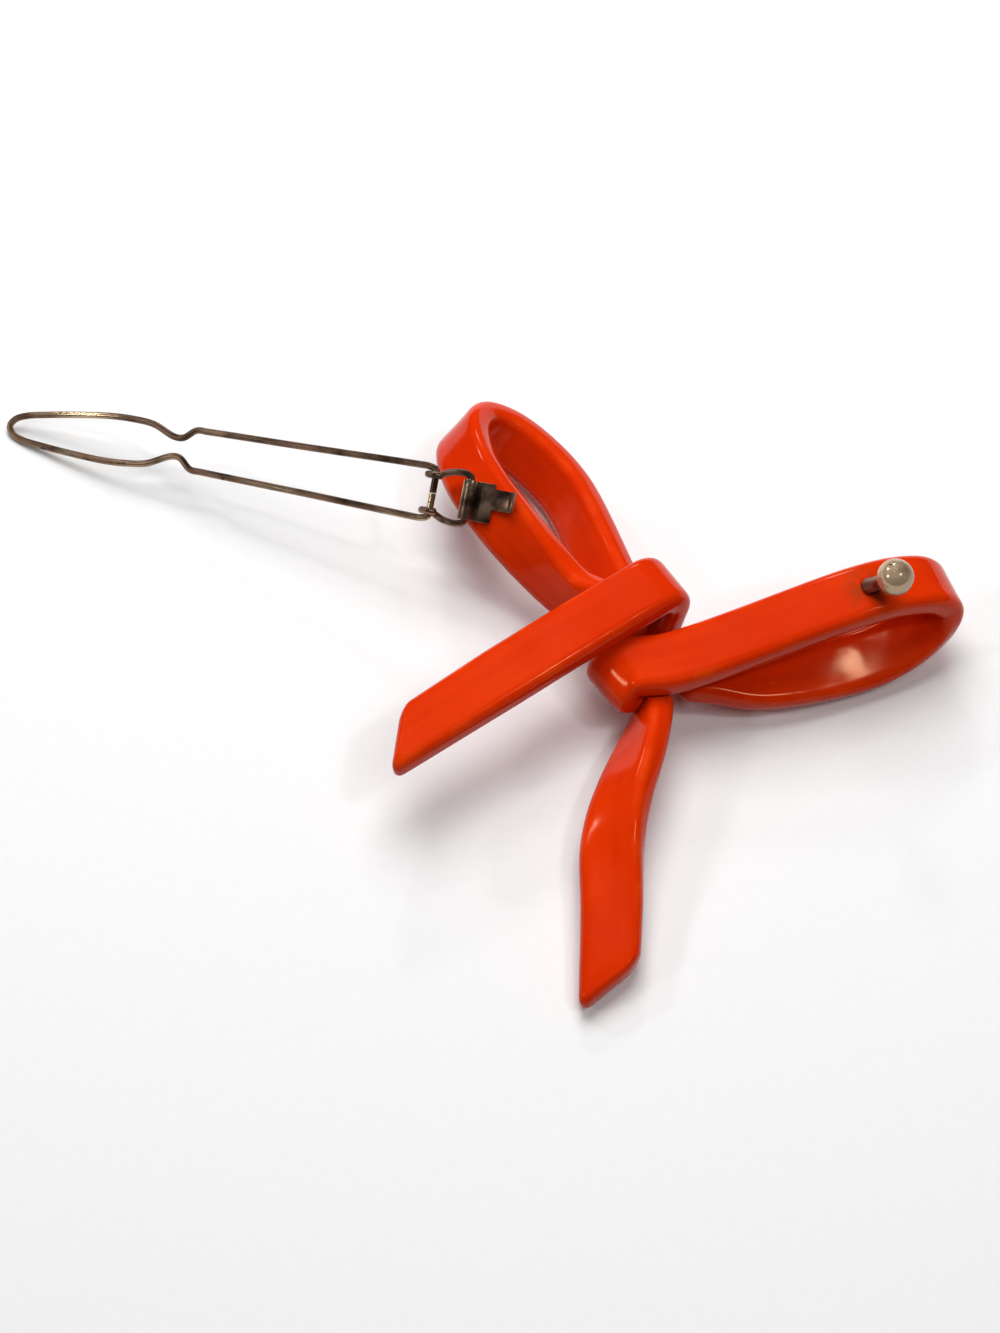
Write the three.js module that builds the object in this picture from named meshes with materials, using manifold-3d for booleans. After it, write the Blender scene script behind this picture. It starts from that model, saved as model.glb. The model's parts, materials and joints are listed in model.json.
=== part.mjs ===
// A bow barrette: a bow bent from flat plastic bar, with a hinged wire clip that snaps over a ball catch.
// Millimetres, +Z up. The bow lies on its face with the clip swung open, as it lies on a table.
// The origin is on the table, under the middle of the front tail's crossing.
// +X runs from the hinge to the catch.
import * as THREE from "three";
import { mergeVertices } from "three/addons/utils/BufferGeometryUtils.js";
import Module from "manifold-3d";

const wasm = await Module();
wasm.setup();

// Flat bar that the bow is bent from
const BAR_WIDTH = 6.5;
const BAR_THICKNESS = 3.0;
const BAR_EDGE_RADIUS = 1.1; // rounding of the bar's long edges and of its cut ends
const EDGE_STEPS = 3; // flats that make up a rounded edge
const GLUE_LINE = 0.12; // solvent joint between two bars
const BAR_STEP = 1.2; // spacing of a bar's cross-sections

// Knot, in layers of bar counted up from the table
const KNOT_ANGLE = 49; // heading in which the front tail crosses the knot, degrees from +X
const KNOT_INNER = 0.8; // inside radius where the front tail turns down and under
const KNOT_REACH = 5.2; // middle of the bar where the front tail turns down, from the knot's middle
const KNOT_TUCK = 1.2; // how far it leans in on the way down
const FOLD_INNER = 0.08; // inside radius of the right loop's tight fold
const FOLD_REACH = 4.9; // middle of the bar at that fold, from the knot's middle
const FRONT_CROSSING = 3.6; // from the knot's middle to the front tail, towards the left loop
const RIGHT_CROSSING = 5.2; // from the knot's middle to the right loop, towards the tails
const FOLD_CROSSING = 1.5; // from the knot's middle to its fold

// Loops. Azimuth is the way a loop points and lean is how far it falls to the left, seen from the knot.
// The rolls tilt the bar across its width on the upper run, at the end and on the lower run.
// Sway moves the lower run to the right.
const LEFT_LOOP = {
  azimuth: 136, lean: 54, rollOut: 30, rollEnd: 46, rollBack: 52,
  length: 32.8, height: 12.4, round: 10.6, sway: 0.1, middleHeight: 6.7,
};
const RIGHT_LOOP = {
  azimuth: 35.5, lean: 10, rollOut: 0, rollEnd: 0, rollBack: -24,
  length: 30.4, height: 8.3, round: 9.6, sway: 1.6, middleHeight: 6.9,
};

// Tails
const FRONT_TAIL_LENGTH = 28.4; // from the knot's middle
const FRONT_TAIL_DROP = 0.9; // how far its tip hangs
const FRONT_TAIL_ASIDE = 0.3; // how far its tip swings towards the back tail
const FRONT_UNDER = 2.5; // how far its hidden end runs on under the knot, past the middle
// The back tail's stations: a place, and the heading and the roll of its width in degrees
const BACK_TAIL = [
  { x: 2.4, y: -4.2, z: 3.7, heading: 192, roll: 76 },
  { x: 2.4, y: -8.6, z: 4.2, heading: 188, roll: 58 },
  { x: 2.2, y: -12.0, z: 4.4, heading: 184, roll: 46 },
  { x: 1.9, y: -15.5, z: 4.3, heading: 182, roll: 38 },
  { x: 1.85, y: -18.6, z: 4.0, heading: 178, roll: 28 },
  { x: 2.2, y: -22.0, z: 3.5, heading: 172, roll: 13 },
  { x: 3.7, y: -28.0, z: 2.75, heading: 168, roll: 0 },
  { x: 5.5, y: -36.2, z: 1.85, heading: 168, roll: 0 },
];
const TAIL_CUT = 42; // slant of the cut ends, degrees
const TAIL_TAPER = 0.08; // share of the width lost towards a cut end
const CUT_REACH = 13; // how far from a cut end its slant and taper fade in

// Hinge strap of sheet metal on the left loop: a knuckle, a leaf and a tongue that ends in a curled lip
const SHEET = 0.35;
const SEAT_GAP = 0.15; // between the strap and the plastic
const SEAT_MARGIN = 0.3; // of the flat planed for the strap
const SEAT_CLEAR = 3; // height cleared over that flat
const HINGE_ALONG = 20.2; // how far along the left loop's bar it sits
const LEAF_WIDTH = 4.2;
const LEAF_LENGTH = 2.6;
const TONGUE_WIDTH = 2.2;
const TONGUE_LENGTH = 1.6;
const TONGUE_SHIFT = 0.5; // of the tongue along the pivot
const LIP_RADIUS = 0.7;
const LIP_TURN = 20; // how far the lip curls past upright, degrees
const CURL_STEPS = 20; // flats that make up a curl of the sheet
const KNUCKLE_TURN = 285; // how far the knuckle is rolled, degrees
const KNUCKLE_PLACE = 1.8; // from the middle of the bar to the knuckle
const TACK_SHANK = 0.8;
const TACK_HEAD = 1.5;
const TACK_DEPTH = 1.9;
const TACK_PLATE = 0.3; // thickness of its head

// Wire of the ring and the clip
const WIRE = 0.75;
const WIRE_SIDES = 8;
const WIRE_STEP = 0.75; // spacing of the wire's cross-sections
const TURNING_GAP = 0.06; // between a wire and what turns on it

// Ring that links the knuckle to the clip
const RING_REACH = 3.8;
const RING_ASIDE = 0.6; // from the leaf's edge to the middle of its arms
const RING_HALF = LEAF_WIDTH / 2 + RING_ASIDE;
const RING_CORNER = 0.45; // where its arms bend into the bar in the knuckle
const EYE_PLACE = 1.9; // from the ring's middle to each eye
const EYE_TURN = 230; // how far each eye wraps the clip, degrees
const RING_CLOSED = 100; // turn of the ring from open to latched, degrees

// Clip, as half widths at the middle of the wire
const CLIP_FOOT = 2.75; // by the ring
const FOOT_BEND = 0.9; // bend of the legs into the bar that the ring holds
const CLIP_SHOULDER = 2.15; // where the legs end
const CLIP_NECK = 1.05;
const CLIP_EYE = 2.5; // at the widest of the catch loop
const CLIP_END_GAP = 0.06; // between the two cut ends of the wire
const CLIP_SKEW = 1.0; // how far the tip is bent aside
const CATCH_OVERHANG = 8.4; // from the catch to the tip
const CATCH_LOOP = 21.0; // from the neck to the tip
const NECK_BEND = 2.0; // from the neck to the end of the legs
const EYE_WIDEST = 8.4; // from the neck to the widest of the catch loop
const TIP_BEND = 4.4; // from the tip to where the catch loop bends in

// Ball catch on the right loop
const CATCH_ALONG = 35.8; // how far along the right loop's bar it sits
const BALL = 3.8;
const POST = 1.8;
const POST_LENGTH = 4.8; // from the plastic to the middle of the ball
const POST_SPIKE = 1.2;
const POST_SPIKE_DEPTH = 2.0;
const POST_LEAN = 32; // away from the hinge, degrees
const POST_SIDE_LEAN = 10; // towards the tails, degrees
const LATCH_HEIGHT = 2.2; // of the latched wire up the post
const PRESS_GAP = 0.03; // around a spike and in the ball's hole

const UP = new THREE.Vector3(0, 0, 1);
const radians = THREE.MathUtils.degToRad;
const heading = (degrees) => new THREE.Vector3(Math.cos(radians(degrees)), Math.sin(radians(degrees)), 0);
const sum = (...terms) => terms.reduce((total, [v, k]) => total.addScaledVector(v, k), new THREE.Vector3());

const plastic = new THREE.MeshStandardMaterial({ color: 0xe8380a, roughness: 0.25 });
const bronze = new THREE.MeshStandardMaterial({ color: 0x7a604b, roughness: 0.4, metalness: 0.8 });

// A bar's path is a list of stations: a place on its middle line and the direction of its width there.
const station = (place, width) => ({ place, width });

// Where a bar's middle line is, and which way its width and face point, at a length along it
class BarPath {
  constructor(stations) {
    this.middle = new THREE.CatmullRomCurve3(stations.map((s) => s.place), false, "centripetal");
    this.middle.arcLengthDivisions = 600;
    this.widths = new THREE.CatmullRomCurve3(stations.map((s) => s.width), false, "catmullrom");
    this.length = this.middle.getLength();
  }
  at(along) {
    const share = THREE.MathUtils.clamp(along / this.length, 0, 1);
    const t = this.middle.getUtoTmapping(share);
    const place = this.middle.getPoint(t);
    const tangent = this.middle.getTangent(t);
    const width = this.widths.getPoint(t);
    width.addScaledVector(tangent, -width.dot(tangent)).normalize();
    const face = tangent.clone().cross(width);
    place.addScaledVector(tangent, along - share * this.length);
    return { place, tangent, width, face };
  }
}

// A straight bar with rounded edges and ends, bent along its path. A cut end slants across the width.
// Grow adds to every side, for cutting a neighbour.
function bentBar(path, startCut = 0, endCut = 0, grow = 0) {
  const r = BAR_EDGE_RADIUS + grow;
  const w = BAR_WIDTH / 2 + grow;
  const h = BAR_THICKNESS / 2 + grow;
  const corner = [];
  for (let i = 0; i <= EDGE_STEPS; i += 1) {
    const angle = (Math.PI / 2) * (i / EDGE_STEPS);
    corner.push([w - r * (1 - Math.cos(angle)), h - r * (1 - Math.sin(angle))]);
  }
  const mirrored = [...corner].reverse();
  const section = new THREE.Shape([
    ...corner.map(([x, y]) => new THREE.Vector2(x, y)),
    ...mirrored.map(([x, y]) => new THREE.Vector2(-x, y)),
    ...corner.map(([x, y]) => new THREE.Vector2(-x, -y)),
    ...mirrored.map(([x, y]) => new THREE.Vector2(x, -y)),
  ]);
  const depth = path.length + 2 * (grow - r);
  const geometry = new THREE.ExtrudeGeometry(section, {
    depth, steps: Math.ceil(depth / BAR_STEP),
    bevelEnabled: true, bevelThickness: r, bevelSize: r * 0.6, bevelOffset: -r * 0.6, bevelSegments: 2,
  });
  const place = geometry.attributes.position;
  for (let i = 0; i < place.count; i += 1) {
    const through = place.getY(i);
    const straight = place.getZ(i) + r - grow;
    const nearStart = startCut ? Math.max(0, 1 - straight / CUT_REACH) : 0;
    const nearEnd = endCut ? Math.max(0, 1 - (path.length - straight) / CUT_REACH) : 0;
    const across = place.getX(i) * (1 - TAIL_TAPER * (nearStart + nearEnd));
    const slant = Math.tan(radians(startCut)) * nearStart + Math.tan(radians(endCut)) * nearEnd;
    const f = path.at(straight + slant * across);
    const p = sum([f.place, 1], [f.width, across], [f.face, through]);
    place.setXYZ(i, p.x, p.y, p.z);
  }
  return geometry;
}

function named(name, geometry, material) {
  const mesh = new THREE.Mesh(geometry, material.clone());
  mesh.name = name;
  return mesh;
}

const across = heading(KNOT_ANGLE);
const along = heading(KNOT_ANGLE + 90);
const knotPlace = (a, c, z) => sum([across, a], [along, c], [UP, z]);
const layer = (n) => BAR_THICKNESS / 2 + (n - 1) * (BAR_THICKNESS + GLUE_LINE);

// Stations of one loop, out along the upper run, round the end and back along the lower run
function loopStations(root, loop) {
  const out = heading(loop.azimuth);
  const flat = heading(loop.azimuth - 90);
  const lift = sum([UP, Math.cos(radians(loop.lean))], [flat, -Math.sin(radians(loop.lean))]);
  const half = loop.height / 2;
  const middle = sum([root, 1], [UP, loop.middleHeight]);
  const turns = 6;
  const list = [];
  for (let i = 0; i <= turns; i += 1) {
    const angle = Math.PI / 2 - (Math.PI * i) / turns;
    const reach = loop.length - loop.round * (1 - Math.cos(angle));
    const below = Math.max(0, -Math.sin(angle)) ** 2;
    const rollEdge = angle > 0 ? loop.rollOut : loop.rollBack;
    const roll = radians(THREE.MathUtils.lerp(loop.rollEnd, rollEdge, Math.abs(Math.sin(angle))));
    const width = sum([flat, Math.cos(roll)], [UP, Math.sin(roll)]);
    const place = sum([middle, 1], [out, reach], [lift, half * Math.sin(angle)], [flat, loop.sway * below]);
    list.push(station(place, width));
  }
  return list;
}

// Left loop: both its ends lie in the knot. Its upper run leaves the knot almost on edge.
const upperRoll = (degrees) => sum([across, Math.cos(radians(degrees))], [UP, Math.sin(radians(degrees))]);
const leftPath = new BarPath([
  station(knotPlace(0.1, 2.8, layer(3)), across),
  station(knotPlace(-1.6, 7.0, 6.9), upperRoll(56)),
  station(knotPlace(-2.5, 10.2, 6.6), upperRoll(67)),
  ...loopStations(knotPlace(-0.6, 0, 0), LEFT_LOOP),
  station(knotPlace(1.8, 6.0, layer(2) - 0.2), upperRoll(38)),
  station(knotPlace(1.6, 2.6, layer(2) - 0.4), upperRoll(16)),
]);

// Right loop: folded tight at the knot, with its two ends butted under the upper run
const FOLD_BEND = BAR_THICKNESS / 2 + FOLD_INNER;
const foldWidth = heading(KNOT_ANGLE - 86);
const foldTop = layer(3);
const foldUnder = foldTop - 2 * FOLD_BEND;
const rightPath = new BarPath([
  station(knotPlace(1.6, -1.4, foldUnder), foldWidth),
  station(knotPlace(-FOLD_REACH + FOLD_BEND, -FOLD_CROSSING, foldUnder), foldWidth),
  station(knotPlace(-FOLD_REACH, -FOLD_CROSSING, foldTop - FOLD_BEND), foldWidth),
  station(knotPlace(-FOLD_REACH + FOLD_BEND, -FOLD_CROSSING, foldTop), foldWidth),
  station(knotPlace(1.0, -3.7, foldTop + 0.3), heading(KNOT_ANGLE - 94)),
  ...loopStations(knotPlace(0, -RIGHT_CROSSING, 0), RIGHT_LOOP),
  station(knotPlace(9.5, -8.6, 3.4), sum([heading(KNOT_ANGLE - 104), 1], [UP, -0.2])),
  station(knotPlace(5.4, -5.6, foldUnder - 0.6), heading(KNOT_ANGLE - 98)),
  station(knotPlace(2.2, -3.4, foldUnder), heading(KNOT_ANGLE - 94)),
]);

// Front tail: over the left loop's ends, down past them and under
const frontWidth = heading(KNOT_ANGLE - 90);
const frontPlace = (a, z, aside = 0) => station(knotPlace(a, FRONT_CROSSING - aside, z), frontWidth);
const KNOT_BEND = BAR_THICKNESS / 2 + KNOT_INNER;
// A quarter turn down from an angle, out to a reach, about a middle at height z
const BEND_STEP = 15; // degrees between the stations of a bend
function frontBend(reach, z, from) {
  const list = [];
  for (let angle = from; angle >= from - 90; angle -= BEND_STEP) {
    const out = reach - KNOT_BEND * (1 - Math.cos(radians(angle)));
    list.push(frontPlace(out, z + KNOT_BEND * Math.sin(radians(angle))));
  }
  return list;
}
const frontPath = new BarPath([
  frontPlace(-FRONT_TAIL_LENGTH, layer(4) - FRONT_TAIL_DROP, FRONT_TAIL_ASIDE),
  frontPlace(-FRONT_TAIL_LENGTH / 2, layer(4) - FRONT_TAIL_DROP / 4, FRONT_TAIL_ASIDE / 2),
  frontPlace(-2, layer(4)),
  ...frontBend(KNOT_REACH, layer(4) - KNOT_BEND, 90),
  ...frontBend(KNOT_REACH - KNOT_TUCK, layer(1) + KNOT_BEND, 0),
  frontPlace(KNOT_REACH - KNOT_TUCK - KNOT_BEND - BAR_EDGE_RADIUS, layer(1)),
  frontPlace(0, layer(1)),
  frontPlace(-FRONT_UNDER, layer(1)),
]);

// Back tail: out from under the right loop, untwisting as it comes down to the table
function backRoll(degrees, roll) {
  return sum([heading(degrees), Math.cos(radians(roll))], [UP, -Math.sin(radians(roll))]);
}
const backPath = new BarPath([
  ...BACK_TAIL.map((s) => station(new THREE.Vector3(s.x, s.y, s.z), backRoll(s.heading, s.roll))),
]);

// Manifold solids for cutting and joining
function solid(geometry) {
  const bare = geometry.clone();
  bare.deleteAttribute("normal");
  bare.deleteAttribute("uv");
  const merged = mergeVertices(bare, 1e-4);
  return new wasm.Manifold(new wasm.Mesh({
    numProp: 3,
    vertProperties: merged.attributes.position.array,
    triVerts: new Uint32Array(merged.index.array),
  }));
}

function geometryOf(body) {
  const mesh = body.getMesh();
  const geometry = new THREE.BufferGeometry();
  geometry.setAttribute("position", new THREE.BufferAttribute(mesh.vertProperties, 3));
  geometry.setIndex(new THREE.BufferAttribute(mesh.triVerts, 1));
  geometry.computeVertexNormals();
  return geometry;
}

// A group whose x, y and z run along three given directions
function framed(origin, x, y, z) {
  const group = new THREE.Group();
  group.matrix.makeBasis(x, y, z).setPosition(origin);
  group.matrix.decompose(group.position, group.quaternion, group.scale);
  return group;
}

// A round wire along a smooth line through points
function wireAlong(points) {
  const line = new THREE.CatmullRomCurve3(points, false, "centripetal");
  line.arcLengthDivisions = 800;
  const ring = [];
  for (let i = 0; i < WIRE_SIDES; i += 1) {
    const angle = (2 * Math.PI * i) / WIRE_SIDES;
    ring.push(new THREE.Vector2((WIRE / 2) * Math.cos(angle), (WIRE / 2) * Math.sin(angle)));
  }
  const steps = Math.ceil(line.getLength() / WIRE_STEP);
  return new THREE.ExtrudeGeometry(new THREE.Shape(ring), { extrudePath: line, steps, bevelEnabled: false });
}

// A round pin standing on z = 0, from a list of radius and height
function turned(profile, sides) {
  const geometry = new THREE.LatheGeometry(profile.map(([r, z]) => new THREE.Vector2(r, z)), sides);
  return geometry.rotateX(Math.PI / 2);
}

// Where the catch stands, and where the latched wire passes it
const catchSpot = rightPath.at(CATCH_ALONG);
const catchBase = sum([catchSpot.place, 1], [catchSpot.face, -BAR_THICKNESS / 2]);
const postWay = new THREE.Vector3(
  Math.tan(radians(POST_LEAN)), -Math.tan(radians(POST_SIDE_LEAN)), 1).normalize();
const latch = sum([catchBase, 1], [postWay, LATCH_HEIGHT]);

// Hinge frame on the left loop: x up the bar's face towards the catch, y along the pivot, z out of the face
const hingeSpot = leftPath.at(HINGE_ALONG);
const hingeOut = hingeSpot.face.clone().negate();
const hingeBase = sum([hingeSpot.place, 1], [hingeOut, BAR_THICKNESS / 2]);
const chord = sum([latch, 1], [hingeBase, -1]);
const chordSide = hingeOut.clone().cross(chord).normalize();
// How far aside the bent clip is where it passes the post
const latchAside = CLIP_SKEW * (1 - CATCH_OVERHANG / CATCH_LOOP);
const hingeAxis = hingeOut.clone().cross(sum([chord, 1], [chordSide, latchAside])).normalize();
const hingeUpFace = hingeAxis.clone().cross(hingeOut);
const hinge = framed(hingeBase, hingeUpFace, hingeAxis, hingeOut);

// Knuckle and leaf in one profile, rolled round the ring's bar
const knuckleInner = WIRE / 2 + TURNING_GAP;
const knuckleOuter = knuckleInner + SHEET;
const knuckleHeight = SEAT_GAP + knuckleOuter;
function strapBody() {
  const leafEnd = -KNUCKLE_PLACE + LEAF_LENGTH;
  const rollEnd = -Math.PI / 2 - radians(KNUCKLE_TURN);
  const roll = new THREE.Shape();
  roll.moveTo(leafEnd, SEAT_GAP);
  roll.lineTo(-KNUCKLE_PLACE, SEAT_GAP);
  roll.absarc(-KNUCKLE_PLACE, knuckleHeight, knuckleOuter, -Math.PI / 2, rollEnd, true);
  roll.absarc(-KNUCKLE_PLACE, knuckleHeight, knuckleInner, rollEnd, -Math.PI / 2, false);
  roll.lineTo(leafEnd, SEAT_GAP + SHEET);
  const lipStart = leafEnd + TONGUE_LENGTH;
  const tongue = new THREE.Shape();
  tongue.moveTo(leafEnd - SHEET, SEAT_GAP);
  tongue.lineTo(lipStart, SEAT_GAP);
  const lipHeight = SEAT_GAP + LIP_RADIUS + SHEET;
  tongue.absarc(lipStart, lipHeight, LIP_RADIUS + SHEET, -Math.PI / 2, radians(LIP_TURN), false);
  tongue.absarc(lipStart, lipHeight, LIP_RADIUS, radians(LIP_TURN), -Math.PI / 2, true);
  tongue.lineTo(leafEnd - SHEET, SEAT_GAP + SHEET);
  const plate = (shape, width, shift) => {
    const options = { depth: width, bevelEnabled: false, curveSegments: CURL_STEPS };
    const geometry = new THREE.ExtrudeGeometry(shape, options);
    return solid(geometry.rotateX(Math.PI / 2).translate(0, width / 2 + shift, 0));
  };
  return plate(roll, LEAF_WIDTH, 0).add(plate(tongue, TONGUE_WIDTH, TONGUE_SHIFT));
}

// What is planed off the plastic to seat the strap flat and to let the ring swing
function seatCutter() {
  const start = -KNUCKLE_PLACE - knuckleOuter - SEAT_MARGIN;
  const end = -KNUCKLE_PLACE + LEAF_LENGTH + TONGUE_LENGTH + LIP_RADIUS + SHEET + SEAT_MARGIN;
  const wide = 2 * (RING_HALF + WIRE / 2 + SEAT_MARGIN);
  const box = new THREE.BoxGeometry(end - start, wide, SEAT_CLEAR);
  return box.translate((start + end) / 2, 0, SEAT_CLEAR / 2);
}

// Tack under the leaf: its flat head is soldered to the leaf and sunk in the plastic
const tackAlong = -KNUCKLE_PLACE + LEAF_LENGTH / 2;
const tackTop = SEAT_GAP - PRESS_GAP;
const tackShape = (grow) => turned([
  [0, -TACK_DEPTH - grow],
  [TACK_SHANK / 4 + grow, -TACK_DEPTH - grow],
  [TACK_SHANK / 2 + grow, -TACK_DEPTH + TACK_SHANK / 2],
  [TACK_SHANK / 2 + grow, tackTop - TACK_PLATE - grow],
  [TACK_HEAD / 2 + grow, tackTop - TACK_PLATE - grow],
  [TACK_HEAD / 2 + grow, tackTop],
  [0, tackTop],
], 16).translate(tackAlong, 0, 0);

// Ring: an eye on the clip at each end, and a straight bar between them that turns in the knuckle
const eyeRadius = WIRE + 1.6 * TURNING_GAP; // at the middle of the wire
function ringShape() {
  const side = [];
  const eyeSteps = 8;
  for (let i = 0; i <= eyeSteps; i += 1) {
    const angle = radians(90 - EYE_TURN + (EYE_TURN * i) / eyeSteps);
    side.push([RING_REACH + eyeRadius * Math.cos(angle), EYE_PLACE, eyeRadius * Math.sin(angle)]);
  }
  side.push([RING_REACH * 0.66, EYE_PLACE + (RING_HALF - EYE_PLACE) * 0.7, eyeRadius * 0.55]);
  side.push([RING_REACH * 0.36, RING_HALF, eyeRadius * 0.15]);
  side.push([RING_CORNER * 1.5, RING_HALF - RING_CORNER * 0.05, 0]);
  side.push([RING_CORNER * 0.4, RING_HALF - RING_CORNER * 0.4, 0]);
  side.push([0, RING_HALF - RING_CORNER, 0]);
  side.push([0, RING_HALF - RING_CORNER * 1.8, 0]);
  side.push([0, LEAF_WIDTH / 4, 0]);
  const near = side.map(([x, y, z]) => new THREE.Vector3(x, y, z));
  const far = side.map(([x, y, z]) => new THREE.Vector3(x, -y, z)).reverse();
  return wireAlong([...near, ...far]);
}

// The latched pose settles the clip's length: from the ring's end when it stands closed to past the catch
const knuckle = new THREE.Vector3(-KNUCKLE_PLACE, 0, knuckleHeight);
const ringOpen = Math.atan2(hingeUpFace.z, hingeOut.z); // the open ring lies level, away from the catch
const ringAngle = (turn) => ringOpen + radians(turn);
const ringEnd = (turn) => new THREE.Vector3(
  knuckle.x - RING_REACH * Math.cos(ringAngle(turn)), 0, knuckle.z + RING_REACH * Math.sin(ringAngle(turn)));
hinge.updateMatrixWorld(true);
const latchSeen = hinge.worldToLocal(latch.clone());
const toLatch = latchSeen.clone().sub(ringEnd(RING_CLOSED));
const clipLength = Math.hypot(toLatch.x, toLatch.z) + CATCH_OVERHANG;

// Clip: a long loop of wire, its ends butted at the middle of the bar that the ring's eyes hold
const neck = clipLength - CATCH_LOOP;
const clipSide = [
  [0, CLIP_END_GAP / 2],
  [0, CLIP_FOOT / 2],
  [0, CLIP_FOOT - FOOT_BEND * 0.6],
  [FOOT_BEND * 0.25, CLIP_FOOT - FOOT_BEND * 0.2],
  [FOOT_BEND, CLIP_FOOT],
  [FOOT_BEND * 3, CLIP_FOOT],
  [neck / 2, (CLIP_FOOT + CLIP_SHOULDER) / 2],
  [neck - NECK_BEND * 1.7, CLIP_SHOULDER * 1.03],
  [neck - NECK_BEND, CLIP_SHOULDER],
  [neck - NECK_BEND * 0.27, CLIP_NECK * 1.06],
  [neck + NECK_BEND * 0.27, CLIP_NECK * 1.03],
  [neck + NECK_BEND * 1.65, CLIP_NECK + 0.77 * (CLIP_EYE - CLIP_NECK)],
  [neck + EYE_WIDEST * 0.67, CLIP_EYE * 0.98],
  [neck + EYE_WIDEST, CLIP_EYE],
  [neck + EYE_WIDEST * 1.55, CLIP_EYE * 0.86],
  [clipLength - TIP_BEND, CLIP_EYE * 0.7],
  [clipLength - TIP_BEND * 0.41, CLIP_EYE * 0.54],
  [clipLength - TIP_BEND * 0.11, CLIP_EYE * 0.32],
];
const clipAside = (x) => -CLIP_SKEW * Math.max(0, (x - neck) / CATCH_LOOP);
const clipLine = [
  ...clipSide.map(([x, y]) => new THREE.Vector3(x, clipAside(x) + y, 0)),
  new THREE.Vector3(clipLength, clipAside(clipLength), 0),
  ...clipSide.map(([x, y]) => new THREE.Vector3(x, clipAside(x) - y, 0)).reverse(),
];

// Catch: a post set in the plastic, with a hollow ball pressed on its end
const ballHole = POST_LENGTH + BALL / 4;
const postShape = (grow) => turned([
  [0, -POST_SPIKE_DEPTH - grow],
  [POST_SPIKE / 4 + grow, -POST_SPIKE_DEPTH - grow],
  [POST_SPIKE / 2 + grow, -POST_SPIKE_DEPTH + POST_SPIKE / 2],
  [POST_SPIKE / 2 + grow, SEAT_GAP - grow],
  [POST / 2 + grow, SEAT_GAP - grow],
  [POST / 2 + grow, ballHole + grow],
  [0, ballHole + grow],
], 20);
function ballShape() {
  const profile = [];
  const rows = 12;
  for (let i = 0; i <= rows; i += 1) {
    const angle = -Math.PI / 2 + (Math.PI * i) / rows;
    const radius = i % rows === 0 ? 0 : (BALL / 2) * Math.cos(angle);
    profile.push([radius, POST_LENGTH + (BALL / 2) * Math.sin(angle)]);
  }
  return turned(profile, 24);
}

// Assembly
const postFront = UP.clone().cross(postWay).normalize();
const catchGroup = framed(catchBase, postFront, postWay.clone().cross(postFront), postWay);
catchGroup.updateMatrixWorld(true);
const inWorld = (geometry, group) => geometry.clone().applyMatrix4(group.matrixWorld);
const leftBody = solid(bentBar(leftPath))
  .subtract(solid(inWorld(tackShape(PRESS_GAP), hinge)))
  .subtract(solid(inWorld(seatCutter(), hinge)))
  .subtract(solid(bentBar(frontPath, -TAIL_CUT, 0, GLUE_LINE)));
const rightBody = solid(bentBar(rightPath)).subtract(solid(inWorld(postShape(PRESS_GAP), catchGroup)));
const backBody = solid(bentBar(backPath, 0, TAIL_CUT))
  .subtract(solid(bentBar(leftPath, 0, 0, GLUE_LINE)))
  .subtract(solid(bentBar(rightPath, 0, 0, GLUE_LINE)));

const bow = new THREE.Group();
bow.add(named("left_loop", geometryOf(leftBody), plastic));
bow.add(named("right_loop", geometryOf(rightBody), plastic));
bow.add(named("front_tail", bentBar(frontPath, -TAIL_CUT, 0), plastic));
bow.add(named("back_tail", geometryOf(backBody), plastic));
bow.add(hinge, catchGroup);
catchGroup.add(named("catch_post", postShape(0), bronze));
const ballBody = solid(ballShape()).subtract(solid(postShape(PRESS_GAP)));
catchGroup.add(named("catch_ball", geometryOf(ballBody), bronze));
hinge.add(named("hinge_strap", geometryOf(strapBody()), bronze));
hinge.add(named("hinge_tack", tackShape(0), bronze));

// The ring and the clip hang on nested groups, one for each pivot
const ringPivot = new THREE.Group();
ringPivot.position.copy(knuckle);
ringPivot.rotation.y = Math.PI + ringAngle(0);
ringPivot.add(named("hinge_ring", ringShape(), bronze));
hinge.add(ringPivot);
const clipPivot = new THREE.Group();
clipPivot.position.set(RING_REACH, 0, 0);
ringPivot.add(clipPivot);
clipPivot.add(named("clip_wire", wireAlong(clipLine), bronze));

// The open clip dips until the first of its wire meets the table
bow.updateMatrixWorld(true);
const pivotHeight = new THREE.Vector3().setFromMatrixPosition(clipPivot.matrixWorld).z;
const steep = hingeAxis.clone().cross(UP).length();
const dips = clipLine.filter((p) => p.x > clipLength / 2)
  .map((p) => (pivotHeight + hingeAxis.z * p.y - WIRE / 2) / (p.x * steep));
clipPivot.rotation.y = -Math.asin(Math.min(...dips));

const barrette = new THREE.Group();
bow.position.copy(knotPlace(0, -FRONT_CROSSING, 0));
barrette.add(bow);

export default barrette;
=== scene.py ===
# %% [markdown]
# A bow barrette, dressed for its portrait.
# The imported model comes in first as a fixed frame. Every piece made below sits where that frame says,
# in metres. The bow is bent from flat plastic bar. Its wire clip, ring, strap and ball catch are old brass.

# %% Load the frame
import json
from math import asin, ceil, cos, pi, radians, sin, sqrt, tan

import bmesh
import bpy
import numpy as np
from mathutils import Matrix, Vector


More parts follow.
